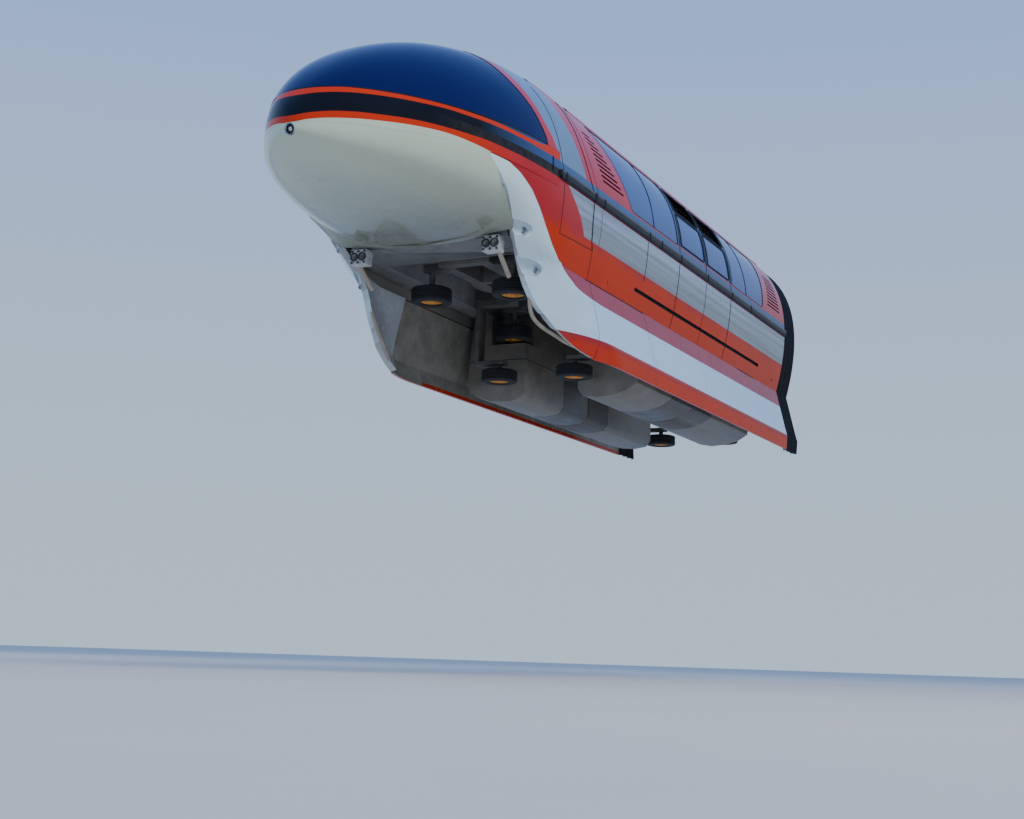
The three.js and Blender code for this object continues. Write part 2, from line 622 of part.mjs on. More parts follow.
// A housing over each bogie's load wheel, open below, with the fixed half of the slewing ring
const RING_PLATE_HALF = 480;
function housing(x, rear, openRear) {
  const start = rear + GAP;
  const front = x + HOUSING_HALF_X - GAP;
  const side = HOUSING_HALF_Y - GAP;
  const under = HOUSING_TOP - SHEET;
  const hull = box(start, front, -side, side, FLOOR_LOW, HOUSING_TOP);
  const inside = box(openRear ? start - 10 : start + SHEET, front - SHEET,
    -side + SHEET, side - SHEET, 0, under);
  const plate = box(x - RING_PLATE_HALF, x + RING_PLATE_HALF, -RING_PLATE_HALF, RING_PLATE_HALF,
    under, HOUSING_TOP);
  const ringLow = RING_Z + GAP;
  const ringTop = under + ROOT;
  const ring = cut(cylinder('z', [x, 0, (ringLow + ringTop) / 2], RING_OUTER, ringTop - ringLow, RING_SIDES),
    cylinder('z', [x, 0, RING_Z], RING_INNER, 2 * (under - RING_Z), RING_SIDES));
  return join(cut(hull, inside), plate, ring);
}
add('wheel_housing_front', housing(BOGIE_X[0], BOGIE_X[0] - HOUSING_HALF_X, false), GREY, 0.6);
add('wheel_housing_rear', housing(BOGIE_X[1], REAR_X, true), GREY, 0.6);

// Cross walls: a flat plate inside the body section
function crossWall(rear, front, depth, lowZ) {
  const half = insetSection(sectionAt(rear), depth).slice(CREASE_K);
  const right = half.slice(0, -1).reverse().map(([y, z]) => [-y, z]);
  return prism([...half, ...right], rear, front, 'x')
    .intersect(box(rear - 1, front + 1, ...CAR_REACH, lowZ, TOOL_TOP));
}
const REAR_WALL_THICK = 40;
const REAR_WINDOW = [-420, 420, 1050, 1650];
add('rear_wall', cut(crossWall(REAR_X + GAP, REAR_X + REAR_WALL_THICK, WALL + 3 * GAP, FLOOR_TOP + GAP),
  box(REAR_X - 50, REAR_X + 100, ...REAR_WINDOW),
  box(REAR_X - 50, REAR_X + 100, -HOUSING_HALF_Y, HOUSING_HALF_Y, 0, HOUSING_TOP + GAP)), SILVER, 0.5);
const PARTITION_X = 4450;
const PARTITION_THICK = 30;
const PARTITION_WINDOW = [-800, 800, 1000, 1650];
add('cab_partition', cut(crossWall(PARTITION_X, PARTITION_X + PARTITION_THICK, WALL + 8, FLOOR_TOP + GAP),
  box(PARTITION_X - 50, PARTITION_X + 100, ...PARTITION_WINDOW)), GREY, 0.6);

// Gangway bellows: a folded hoop from skirt to skirt
const FOLDS = 3;
const FOLD_DEPTH = 45;
function bellowsPiece() {
  const stations = [];
  const depths = [];
  for (let i = 0; i <= 2 * FOLDS; i += 1) {
    stations.push(THREE.MathUtils.mapLinear(i, 0, 2 * FOLDS, REAR_X - GAP, BELLOWS_REAR_X));
    depths.push(8 + (i % 2 ? FOLD_DEPTH : 0));
  }
  return arch(stations, 0, depths, depths.map((depth) => depth + 30));
}
add('gangway_bellows', bellowsPiece(), BLACK, 0.9);

// Cab: floor above the belly, desk and two seats
const CAB_FLOOR_Z = 430;
const CAB_FLOOR_TOP = 454;
const CAB_FLOOR_INSET = 48;
const DESK = [[6120, 440], [6560, 440], [6600, 760], [6420, 860], [6180, 790], [6150, 700]];
const DESK_HALF = 480;
const CAB_FLOOR_X = [FLOOR_FRONT_X + GAP, 6530];
function cabFloor() {
  const edge = [];
  const steps = 8;
  for (let i = 0; i <= steps; i += 1) {
    const x = THREE.MathUtils.lerp(...CAB_FLOOR_X, i / steps);
    const drop = (BELLY_DEPTH - NOSE_SKIN) * fall(x, KEEL_POWERS);
    const deep = Math.min((beltZ(x) - CAB_FLOOR_Z) / drop, 1);
    const spread = Math.pow(1 - Math.pow(deep, BELLY_POWER), 1 / BELLY_POWER);
    edge.push([x, (HALF_WIDTH - NOSE_SKIN) * fall(x, PLAN_POWERS) * spread - CAB_FLOOR_INSET]);
  }
  const plate = prism([...edge, ...edge.map(([x, y]) => [x, -y]).reverse()], CAB_FLOOR_Z, CAB_FLOOR_TOP, 'z');
  return join(plate, prism(DESK, -DESK_HALF, DESK_HALF, 'y'));
}
add('cab_floor_and_desk', cabFloor(), DARK, 0.8);

// Seats: an L-shaped soft body on a plinth, from a side outline of x and z
const CAB_SEAT_X = 5250;
const CAB_SEAT_Y = 330;
const CAB_SEAT_HALF = 240;
const CAB_SEAT_OUTLINE = [[-240, 250], [250, 250], [260, 330], [220, 360], [-150, 345], [-250, 960],
  [-340, 960], [-300, 300]];
const PLINTH_HALF = 155;
const PLINTH_HEIGHT = 260;
function cabSeat() {
  const top = CAB_FLOOR_TOP + GAP;
  const plinth = box(CAB_SEAT_X - PLINTH_HALF, CAB_SEAT_X + PLINTH_HALF,
    CAB_SEAT_Y - PLINTH_HALF, CAB_SEAT_Y + PLINTH_HALF, top, top + PLINTH_HEIGHT);
  const outline = CAB_SEAT_OUTLINE.map(([x, z]) => [CAB_SEAT_X + x, top + z]);
  return join(plinth, prism(outline, CAB_SEAT_Y - CAB_SEAT_HALF, CAB_SEAT_Y + CAB_SEAT_HALF, 'y'));
}
addPair('cab_seat', cabSeat(), SEAT, 0.9);

// Benches on the wheel housings, from a side outline: x from the seat's front edge, z above the housing
const BENCH_OUTLINE = [[0, 0], [0, 70], [20, 90], [450, 80], [500, 620], [590, 620], [570, 0]];
const BENCH_HALF = 720;
const BENCH_EDGE = 10;
function bench(seatFront, facing) {
  const outline = BENCH_OUTLINE.map(([x, z]) => [seatFront + facing * x, HOUSING_TOP + GAP + z]);
  return prism(outline, -BENCH_HALF, BENCH_HALF, 'y');
}
for (const [place, x, facing] of [['front', BOGIE_X[0], 1], ['rear', BOGIE_X[1], -1]]) {
  add(`bench_${place}`, bench(x - facing * (HOUSING_HALF_X - BENCH_EDGE), facing), SEAT, 0.9);
}

// Equipment pans between beam and skirt, one on each side, with rounded undersides
const PAN_Y = [330, 1055];
const PAN_ENDS = [-1780, 2120];
const PAN_SPLIT_X = 320;
// Room for the front bogie's trailing guide wheel and its arm at full swing
const PAN_NOTCH = box(1880, 2200, 0, 765, -235, 300);
// Section of a pan: columns y, z
const PAN_OUTLINE = [[PAN_Y[0], FLOOR_LOW - GAP], [PAN_Y[0], -800], [390, -880], [550, -905], [750, -890],
  [910, -845], [1035, -770], [PAN_Y[1], -600], [1030, -240], [985, FLOOR_LOW - GAP]];
function panPiece() {
  const pod = prism(PAN_OUTLINE, ...PAN_ENDS, 'x');
  const groove = box(PAN_SPLIT_X, PAN_SPLIT_X + 24, 0, SIDE_REACH[1], -1000, -300);
  const core = box(PAN_SPLIT_X - 5, PAN_SPLIT_X + 40, PAN_Y[0] + 30, PAN_Y[1] - 60, -860, 0);
  return cut(pod, groove.subtract(core), PAN_NOTCH);
}
addPair('equipment_pan', panPiece(), SILVER, 0.5);

// Towing bracket beside the belly, with its brace out to the fin
const BRACKET_X = [4940, 5060];
const BRACKET_Y = [640, 810];
const BRACKET_LOW = -30;
const BRACKET_HIGH = FLOOR_LOW - GAP;
function towingBracket() {
  const block = box(...BRACKET_X, ...BRACKET_Y, BRACKET_LOW, BRACKET_HIGH);
  const foot = box(FLOOR_FRONT_X - 60, BRACKET_X[1], BRACKET_Y[0] + 20, BRACKET_Y[1] - 20, 70, BRACKET_HIGH);
  const middle = (BRACKET_Y[0] + BRACKET_Y[1]) / 2;
  const holes = [-1, 1].map((side) => cylinder('x', [BRACKET_X[0], middle + side * 45, 45], 30, 600, 12));
  const brace = rod([4985, 770, 0], [4720, 760, -200], 24);
  return join(cut(join(block, foot), ...holes), brace);
}
addPair('towing_bracket', towingBracket(), SILVER, 0.5);

// Wheels

// Rubber-tyred wheels turn on pins: profiles of [radius, z] about their own axis
function guideWheel(radius, halfWidth) {
  const rim = radius * 0.6;
  const boreLow = -halfWidth * BORE_DEPTH_SHARE;
  return turned([[0, boreLow], [BORE_RADIUS, boreLow], [BORE_RADIUS, halfWidth * 0.75],
    [rim, halfWidth * 0.75], [rim + 8, halfWidth], [radius - 14, halfWidth], [radius, halfWidth * 0.6],
    [radius, -halfWidth * 0.6], [radius - 14, -halfWidth], [rim, -halfWidth], [0, -halfWidth * 0.7]]);
}

const AXLE_RADIUS = 38;
const LOAD_SIDES = 26;
function loadWheel() {
  const half = LOAD_HALF;
  const rim = LOAD_RADIUS * 0.62;
  const bore = AXLE_RADIUS + 0.6;
  return turned([[bore, -half * 0.9], [rim - 12, -half * 0.8], [rim, -half], [LOAD_RADIUS - 24, -half],
    [LOAD_RADIUS, -half * 0.75], [LOAD_RADIUS, half * 0.75], [LOAD_RADIUS - 24, half], [rim, half],
    [rim - 12, half * 0.8], [bore, half * 0.9], [bore, -half * 0.9]], LOAD_SIDES);
}

const GUIDE_HALF = 80;
const STEADY_HALF = 70;
// Guide wheels of one bogie: columns name, x from the pivot, side, y, z, radius, half width
const GUIDE_WHEELS = [1, -1].flatMap((side) => {
  const hand = side > 0 ? 'left' : 'right';
  return [
    [`guide_wheel_outer_${hand}`, GUIDE_X, side, GUIDE_Y, GUIDE_Z, GUIDE_RADIUS, GUIDE_HALF],
    [`guide_wheel_inner_${hand}`, -GUIDE_X, side, GUIDE_Y, GUIDE_Z, GUIDE_RADIUS, GUIDE_HALF],
    [`steady_wheel_${hand}`, STEADY_X, side, STEADY_Y, STEADY_Z, STEADY_RADIUS, STEADY_HALF],
  ];
});

// Bogie frame, about its own pivot
const FRAME_LOW = 110;
const FRAME_HALF_X = 1150;
const FRAME_HALF_Y = 290;
const WELL_HALF_X = 345;
const WELL_HALF_Y = 165;
const MOTOR_X = [-1020, -440];
const OUTRIGGER_Z = [105, 185];
const OUTRIGGER_HALF = 70;
const LEG_Y = [690, 735];
const STEADY_ARM_Z = -560;

function pin(x, y, top, bottom) {
  return cylinder('z', [x, y, (top + ROOT + bottom) / 2], PIN_RADIUS, top + ROOT - bottom, PIN_SIDES);
}

function bogieFrame() {
  const slab = box(-FRAME_HALF_X, FRAME_HALF_X, -FRAME_HALF_Y, FRAME_HALF_Y, FRAME_LOW, FRAME_TOP);
  const bay = (x0, x1) => box(x0, x1, -WELL_HALF_Y, WELL_HALF_Y, 0, 500);
  const bays = [bay(-WELL_HALF_X, WELL_HALF_X), bay(MOTOR_X[0] - 30, MOTOR_X[1] + 30),
    bay(WELL_HALF_X + 70, FRAME_HALF_X - 110)];
  const ringTop = RING_Z - GAP;
  const ring = cut(cylinder('z', [0, 0, (170 + ringTop) / 2], RING_OUTER, ringTop - 170, RING_SIDES),
    cylinder('z', [0, 0, 200], RING_INNER, 2000, RING_SIDES));
  const axle = cylinder('y', [0, 0, LOAD_RADIUS], AXLE_RADIUS, 2 * WELL_HALF_Y + 60, LOAD_SIDES);
  const outriggers = [GUIDE_X, -GUIDE_X].map((x) => box(x - OUTRIGGER_HALF, x + OUTRIGGER_HALF,
    -GUIDE_Y - OUTRIGGER_HALF, GUIDE_Y + OUTRIGGER_HALF, ...OUTRIGGER_Z));
  const steadyBeam = box(STEADY_X - OUTRIGGER_HALF, STEADY_X + OUTRIGGER_HALF,
    -LEG_Y[1], LEG_Y[1], ...OUTRIGGER_Z);
  const hangers = [1, -1].flatMap((side) => [
    pin(GUIDE_X, side * GUIDE_Y, OUTRIGGER_Z[0], GUIDE_Z - GUIDE_HALF * BORE_DEPTH_SHARE + GAP),
    pin(-GUIDE_X, side * GUIDE_Y, OUTRIGGER_Z[0], GUIDE_Z - GUIDE_HALF * BORE_DEPTH_SHARE + GAP),
    pin(STEADY_X, side * STEADY_Y, STEADY_ARM_Z, STEADY_Z - STEADY_HALF * BORE_DEPTH_SHARE + GAP),
  ]);
  const legs = [1, -1].flatMap((side) => {
    const between = (a, b) => [Math.min(side * a, side * b), Math.max(side * a, side * b)];
    const along = [STEADY_X - OUTRIGGER_HALF, STEADY_X + OUTRIGGER_HALF];
    return [box(...along, ...between(...LEG_Y), STEADY_ARM_Z, OUTRIGGER_Z[1]),
      box(...along, ...between(STEADY_Y - OUTRIGGER_HALF, LEG_Y[1]), STEADY_ARM_Z, STEADY_ARM_Z + 45)];
  });
  return join(cut(join(slab, ring, ...outriggers, steadyBeam), ...bays), axle, ...hangers, ...legs);
}

for (const [place, x] of [['front', BOGIE_X[0]], ['rear', BOGIE_X[1]]]) {
  const facing = Math.sign(x);
  const bogie = new THREE.Group();
  bogie.position.set(x, 0, 0);
  train.add(bogie);
  const motor = box(...MOTOR_X, -WELL_HALF_Y + GAP, WELL_HALF_Y - GAP, 35, FRAME_TOP);
  const turn = facing > 0 ? 0 : Math.PI;
  add(`bogie_frame_${place}`, bogieFrame(), DARK, 0.6, 0.2, bogie).rotation.z = turn;
  add(`traction_motor_${place}`, motor, GREY, 0.5, 0.3, bogie).rotation.z = turn;
  const load = add(`load_wheel_${place}`, loadWheel(), DARK, 0.8, 0, bogie);
  load.rotation.x = Math.PI / 2;
  load.position.set(0, 0, LOAD_RADIUS);
  for (const [name, along, side, y, z, radius, half] of GUIDE_WHEELS) {
    const wheel = add(`${name}_${place}`, guideWheel(radius, half), YELLOW, 0.6, 0, bogie);
    wheel.position.set(facing * along, side * y, z);
  }
}

export default train;
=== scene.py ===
"""Looks of the leading car of a straddle-beam monorail train.

Metres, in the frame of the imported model: +X towards the nose, +Y to the car's left, +Z up.
The body is rebuilt from the same curves as the solids, with more points, so it keeps their form.
"""
import math

import bmesh
import bpy
import numpy as np
from mathutils import Matrix, Vector
from mathutils.bvhtree import BVHTree


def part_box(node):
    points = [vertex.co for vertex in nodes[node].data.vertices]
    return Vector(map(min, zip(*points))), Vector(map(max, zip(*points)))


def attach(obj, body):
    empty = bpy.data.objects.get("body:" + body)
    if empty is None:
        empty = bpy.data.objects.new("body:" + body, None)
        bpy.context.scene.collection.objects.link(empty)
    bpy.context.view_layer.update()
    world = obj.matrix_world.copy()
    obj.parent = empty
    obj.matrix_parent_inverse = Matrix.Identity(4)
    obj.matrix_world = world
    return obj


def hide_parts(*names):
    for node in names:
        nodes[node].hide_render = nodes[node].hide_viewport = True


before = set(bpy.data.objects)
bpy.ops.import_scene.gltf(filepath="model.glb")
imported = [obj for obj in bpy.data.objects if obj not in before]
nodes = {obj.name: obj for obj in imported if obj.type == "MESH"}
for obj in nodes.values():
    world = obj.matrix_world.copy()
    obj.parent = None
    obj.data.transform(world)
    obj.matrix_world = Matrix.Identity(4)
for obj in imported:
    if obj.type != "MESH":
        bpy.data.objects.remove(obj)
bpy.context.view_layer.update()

SIDES = (("left", 1), ("right", -1))
MM = 0.001

# Body form, as in the solids
HALF_WIDTH = 1.220
BELT_Z = 0.785
ROOF_Z = 2.060
ROOF_POWER = 2.3
NOSE_START = 4.170
NOSE_TIP = 7.320
TIP_Z = 0.510
PLAN_POWERS = (2.3, 1.62)
TOP_POWERS = (2.2, 1.9)
KEEL_POWERS = (1.77, 1.66)
BELLY_DEPTH = 0.700
BELLY_POWER = 2.8
NOSE_SKIN = 0.035
GLASS_SKIN = 0.015
REAR_X = -2.840
SIDE_FRONT_X = 5.750
HOOP_X = 4.600
SKIRT_FRONT_X = 3.620
TONGUE_X = 5.460
DOOR_FRONT_X = 1.340
DOOR_MID_X = 0.420
DOOR_REAR_X = -0.500
WALL = 0.045
ROOF_THICK = 0.040
SKIRT_THICK = 0.028
FIN_THICK = 0.070
GAP = 0.0015

CREASE_X = np.array([-4.0, 4.15, 4.36, 4.54, 4.72, 4.88, 5.06, 5.28, 5.48, 5.75])
CREASE_Z = np.array([-0.010, -0.010, 0.020, 0.130, 0.270, 0.400, 0.520, 0.610, 0.656, 0.660])
CREASE_INSET = np.array([118, 118, 112, 98, 78, 58, 38, 20, 8, 3]) * MM
SKIRT = ((-0.820, -0.033), (-0.640, -0.044), (-0.530, -0.012), (-0.225, 0.064))
SHOULDER_STEPS = np.linspace(0, 1, 9)[1:-1]
# Front edge of the fin, from its tip down to the skirt: columns x, z, how far it has turned inwards there
FIN_FRONT = np.array([
    [5750, 645, 0], [5660, 575, 3], [5570, 500, 8], [5430, 397, 36], [5280, 310, 95], [5130, 217, 155],
    [5000, 86, 205], [4850, -40, 240], [4730, -150, 255], [4610, -295, 258], [4500, -424, 258],
    [4360, -520, 246], [4240, -600, 232], [4110, -670, 205], [3930, -740, 160], [3775, -780, 120],
    [3620, -808, 80]]) * MM
TURN_REAR = (-0.820, 3.050)        # height and station where the lower edge begins to turn inwards
TURN_LENGTH_MIN = 0.020
BEND = 0.016                       # how far from a bend of the skirt its rounding starts
SIDE_POWER = 1.8
SIDE_STEPS = np.linspace(1, 0, 15)[1:-1]
WINDOW_ANGLES = np.linspace(0, 47, 20)
ROOF_ANGLES = np.linspace(47, 90, 18)[1:]
CLOSE_STATIONS = np.arange(3.0, 5.8, 0.06)
MITRE_LEAST = 0.7                  # how blunt a corner of an inset section stays


def fall(x, powers):
    along = min(max((x - NOSE_START) / (NOSE_TIP - NOSE_START), 0), 1)
    return (1 - along ** powers[0]) ** (1 / powers[1])


def belt_z(x):
    along = min(max((x - NOSE_START) / (NOSE_TIP - NOSE_START), 0), 1)
    return BELT_Z + (TIP_Z - BELT_Z) * along * along


def half_width(x, depth=0.0):
    return (HALF_WIDTH - depth) * fall(x, PLAN_POWERS)


def roof_rise(x, depth=0.0):
    """Height of the roof above the belt."""
    return (ROOF_Z - BELT_Z - depth) * fall(x, TOP_POWERS)


def keel_drop(x, depth=0.0):
    """How far the belly reaches below the belt."""
    return (BELLY_DEPTH - depth) * fall(x, KEEL_POWERS)


def curve_through(points, per_span=6):
    """A smooth line through points, with its corners eased."""
    points = [Vector(p) for p in points]
    result = []
    for i in range(len(points) - 1):
        p0, p1, p2, p3 = (points[min(max(j, 0), len(points) - 1)] for j in (i - 1, i, i + 1, i + 2))
        for j in range(per_span):
            t = j / per_span
            result.append(tuple(0.5 * ((2 * p1) + (p2 - p0) * t + (2 * p0 - 5 * p1 + 4 * p2 - p3) * t * t
                                       + (3 * p1 - p0 - 3 * p2 + p3) * t ** 3)))
    result.append(tuple(points[-1]))
    return result


EDGE_X, EDGE_Z, EDGE_TURN = np.array(curve_through(FIN_FRONT[::-1], 5)).T
TURN_START_X = [TURN_REAR[1], *CREASE_X[1:]]
TURN_START_Z = [TURN_REAR[0], *CREASE_Z[1:]]


def edge_z(x):
    return float(np.interp(x, EDGE_X, EDGE_Z))


def edge_x(z):
    return float(np.interp(z, EDGE_Z, EDGE_X))


def turn_at(x, z, most=1.0):
    """How far the fin has turned inwards at a station and height below the crease."""
    start = np.interp(z, TURN_START_Z, TURN_START_X)
    share = (x - start) / max(edge_x(z) - start, TURN_LENGTH_MIN)
    return np.interp(z, EDGE_Z, EDGE_TURN) * min(max(share, 0), most) ** 2


def skirt_points():
    """The skirt's bends as z and inset, each rounded by a point on both sides of it."""
    rows = [SKIRT[0]]
    for before, here, after in zip(SKIRT, SKIRT[1:], SKIRT[2:] + ((-0.01, 0.118),)):
        for other in (before, None, after):
            if other is None:
                rows.append(here)
                continue
            share = BEND / math.dist(here, other)
            rows.append(tuple(h + (o - h) * share for h, o in zip(here, other)))
    return rows


SKIRT_ROWS = skirt_points()
CREASE_K = len(SKIRT_ROWS) + len(SHOULDER_STEPS)
BELT_K = CREASE_K + len(SIDE_STEPS) + 1
ROOF_EDGE_K = BELT_K + len(WINDOW_ANGLES) - 1


def section_at(x, lowest=SKIRT[0][0], most=1.0):
    """Left half of the section at x as rows of y and z, from the skirt's lower edge to the roof's middle.

    What would lie below the lowest height closes up into one point there.
    """
    half = half_width(x)
    belt = belt_z(x)
    crease_z = np.interp(x, CREASE_X, CREASE_Z)
    crease_inset = np.interp(x, CREASE_X, CREASE_INSET)
    fade = crease_inset / CREASE_INSET[0]
    upright = [(half - (inset * fade if inset > 0 else inset), z) for z, inset in SKIRT_ROWS]
    last_y, last_z = upright[-1]
    upright += [(last_y + (half - crease_inset - last_y) * share, last_z + (crease_z - last_z) * share)
                for share in (*SHOULDER_STEPS, 1)]
    widths, heights = np.array(upright).T
    kept = np.maximum(heights[:-1], lowest)
    rows = [(np.interp(z, heights, widths) - turn_at(x, z, most), z) for z in kept]
    rows.append((half - crease_inset, crease_z))
    rows += [(half - crease_inset * step ** SIDE_POWER, belt - step * (belt - crease_z))
             for step in SIDE_STEPS]
    height = roof_rise(x)
    for degrees in (*WINDOW_ANGLES, *ROOF_ANGLES):
        angle = math.radians(degrees)
        across = 0 if degrees >= 90 else math.cos(angle) ** (2 / ROOF_POWER)
        rows.append((half * across, belt + height * math.sin(angle) ** (2 / ROOF_POWER)))
    return np.array(rows)


def inset_section(section, depth):
    """The section moved inwards by a depth."""
    closed = int(np.count_nonzero(section[:, 1] < section[0, 1] + 1e-6)) - 1
    if closed > 0:
        moved = inset_section(section[closed:], depth)
        return np.vstack([np.repeat(moved[:1], closed, axis=0), moved])
    steps = np.diff(section, axis=0)
    steps /= np.maximum(np.linalg.norm(steps, axis=1, keepdims=True), 1e-9)
    normals = np.stack([steps[:, 1], -steps[:, 0]], axis=1)
    first = np.vstack([normals[:1], normals])
    last = np.vstack([normals, [[0, 1]]])
    mean = first + last
    mean /= np.linalg.norm(mean, axis=1, keepdims=True)
    stretch = 1 / np.maximum((mean * first).sum(axis=1), MITRE_LEAST)
    moved = section - mean * (depth * stretch)[:, None]
    moved[-1, 0] = 0
    return moved


def face_y(x, z):
    """Half width of the outer face at a station and height."""
    section = section_at(x)
    return float(np.interp(z, section[:, 1], section[:, 0]))


def stations(rear, front, step=0.5):
    """Stations from rear to front: the crease's own, even steps, and close ones where the nose narrows."""
    even = np.arange(math.ceil(rear / step) * step, front, step)
    inner = [x for x in (*CREASE_X, *even, *CLOSE_STATIONS) if rear + 0.01 < x < front - 0.01]
    return sorted({round(float(x), 4) for x in (rear, front, *inner)})


# Meshes
def placed(name, data):
    """A new object in the scene."""
    made = bpy.data.objects.new(name, data)
    bpy.context.scene.collection.objects.link(made)
    return made


def mesh_object(name, points, faces):
    mesh = bpy.data.meshes.new(name)
    mesh.from_pydata([tuple(map(float, p)) for p in points], [], faces)
    mesh.validate()
    return placed(name, mesh)


def from_bmesh(name, work):
    mesh = bpy.data.meshes.new(name)
    work.to_mesh(mesh)
    work.free()
    return placed(name, mesh)


def grid_faces(rows, columns, start=0, flip=False):
    faces = []
    for i in range(rows - 1):
        for k in range(columns - 1):
            a = start + i * columns + k
            quad = [a, a + columns, a + columns + 1, a + 1]
            faces.append(quad[::-1] if flip else quad)
    return faces


def skin(name, outer, inner):
    """A closed skin between two matching grids of points."""
    outer, inner = np.array(outer), np.array(inner)
    rows, columns = outer.shape[:2]
    total = rows * columns
    faces = grid_faces(rows, columns) + grid_faces(rows, columns, total, True)
    for i in range(rows - 1):
        a, b = i * columns, (i + 1) * columns
        faces.append([a, total + a, total + b, b])
        a, b = a + columns - 1, b + columns - 1
        faces.append([a, b, total + b, total + a])
    for k in range(columns - 1):
        faces.append([k, k + 1, total + k + 1, total + k])
        a = (rows - 1) * columns + k
        faces.append([a, total + a, total + a + 1, a + 1])
    return outward(mesh_object(name, np.vstack([outer.reshape(-1, 3), inner.reshape(-1, 3)]), faces))


def outward(made):
    """Turns the faces of a closed mesh outwards, after merging points that meet."""
    work = bmesh.new()
    work.from_mesh(made.data)
    bmesh.ops.remove_doubles(work, verts=work.verts, dist=1e-5)
    bmesh.ops.dissolve_degenerate(work, edges=work.edges, dist=1e-6)
    bmesh.ops.recalc_face_normals(work, faces=work.faces)
    work.to_mesh(made.data)
    work.free()
    return made


def prism(name, outline, low, high, axis="y"):
    """A prism from an outline, from low to high along the y or z axis."""
    count = len(outline)
    points = [(u, w, v) if axis == "y" else (u, v, w) for w in (low, high) for u, v in outline]
    faces = [list(range(count)), list(range(count, 2 * count))]
    faces += [[i, (i + 1) % count, count + (i + 1) % count, count + i] for i in range(count)]
    return outward(mesh_object(name, points, faces))


def box(name, x0, x1, y0, y1, z0, z1):
    return prism(name, [(x0, y0), (x1, y0), (x1, y1), (x0, y1)], z0, z1, "z")


CORNER_SHARE = 0.45                # most of an edge that the bend at one of its ends takes up


def rounded(outline, radius, steps=5):
    """The outline with each corner replaced by an arc-like bend."""
    result = []
    for i, corner in enumerate(outline):
        here = Vector(corner)
        ends = [Vector(other) - here for other in (outline[i - 1], outline[(i + 1) % len(outline)])]
        start, end = (here + end.normalized() * min(radius, end.length * CORNER_SHARE) for end in ends)
        for j in range(steps + 1):
            t = j / steps
            result.append(tuple((1 - t) ** 2 * start + 2 * t * (1 - t) * here + t * t * end))
    return result


def turned(name, profile, centre, axis="z", sides=48):
    """A closed ring or disc turned about an axis through centre, from a profile of radius and height."""
    points, faces = [], []
    for j in range(sides):
        angle = 2 * math.pi * j / sides
        for radius, height in profile:
            u, v = radius * math.cos(angle), radius * math.sin(angle)
            local = {"z": (u, v, height), "y": (u, height, v), "x": (height, u, v)}[axis]
            points.append([c + d for c, d in zip(centre, local)])
    count = len(profile)
    for j in range(sides):
        for k in range(count):
            a, b = j * count, ((j + 1) % sides) * count
            faces.append([a + k, b + k, b + (k + 1) % count, a + (k + 1) % count])
    return outward(mesh_object(name, points, faces))


def tube(name, path, radius, sides=12):
    """A bent bar of round section along a path of points."""
    path = [Vector(p) for p in path]
    points, faces = [], []
    for i, point in enumerate(path):
        before, after = path[max(i - 1, 0)], path[min(i + 1, len(path) - 1)]
        along = (after - before).normalized()
        side = along.orthogonal().normalized() if i == 0 else (side - along * side.dot(along)).normalized()
        over = along.cross(side)
        for j in range(sides):
            angle = 2 * math.pi * j / sides
            points.append(point + (side * math.cos(angle) + over * math.sin(angle)) * radius)
    for i in range(len(path) - 1):
        for j in range(sides):
            a, b = i * sides, (i + 1) * sides
            faces.append([a + j, a + (j + 1) % sides, b + (j + 1) % sides, b + j])
    faces.append(list(range(sides))[::-1])
    faces.append([(len(path) - 1) * sides + j for j in range(sides)])
    return outward(mesh_object(name, points, faces))


def joined(name, parts):
    """One object that holds all the parts' faces."""
    points, faces = [], []
    for part in parts:
        start = len(points)
        points += [tuple(v.co) for v in part.data.vertices]
        faces += [[start + v for v in face.vertices] for face in part.data.polygons]
        discard(part)
    return mesh_object(name, points, faces)


def discard(made):
    mesh = made.data
    bpy.data.objects.remove(made)
    bpy.data.meshes.remove(mesh)


def carve(made, tools, operation="DIFFERENCE"):
    """Cuts the tools, which don't touch each other, from the object or keeps what lies in them."""
    tool = joined("tool", tools) if len(tools) > 1 else tools[0]
    modifier = made.modifiers.new("cut", "BOOLEAN")
    modifier.operation = operation
    modifier.solver = "EXACT"
    modifier.object = tool
    bpy.context.view_layer.update()
    evaluated = made.evaluated_get(bpy.context.evaluated_depsgraph_get())
    old, made.data = made.data, bpy.data.meshes.new_from_object(evaluated)
    made.modifiers.clear()
    bpy.data.meshes.remove(old)
    made.data.name = made.name
    discard(tool)
    return made


def smooth(made, angle):
    made.data.shade_smooth()
    made.data.set_sharp_from_angle(angle=math.radians(angle))
    return made


class Reference:
    """A smooth surface that gives its normals to the faces of pieces cut from it."""

    def __init__(self, grid):
        grid = np.array(grid)
        along = np.gradient(grid, axis=0)
        across = np.gradient(grid, axis=1)
        normals = np.cross(across, along).reshape(-1, 3)
        normals /= np.maximum(np.linalg.norm(normals, axis=1, keepdims=True), 1e-9)
        rows, columns = grid.shape[:2]
        self.faces = []
        for a, b, c, d in grid_faces(rows, columns):
            self.faces += [(a, b, c), (a, c, d)]
        self.points = grid.reshape(-1, 3)
        centre = self.points.mean(axis=0) * [1, 0, 1]
        middle = len(normals) // 2
        if np.dot(normals[middle], self.points[middle] - centre) < 0:
            normals = -normals
        self.normals = normals
        self.tree = BVHTree.FromPolygons([tuple(p) for p in self.points], self.faces)

    def normal(self, point):
        found = self.tree.find_nearest(point)
        if found[0] is None:
            return None
        corners = self.faces[found[2]]
        a, b, c = (self.points[i] for i in corners)
        place = np.array(found[0])
        areas = [np.linalg.norm(np.cross(p - place, q - place)) for p, q in ((b, c), (c, a), (a, b))]
        total = sum(areas) or 1
        mixed = sum(self.normals[i] * area / total for i, area in zip(corners, areas))
        length = np.linalg.norm(mixed)
        return Vector(mixed / length) if length > 1e-6 else None


ALONG_LEAST = math.cos(math.radians(24))


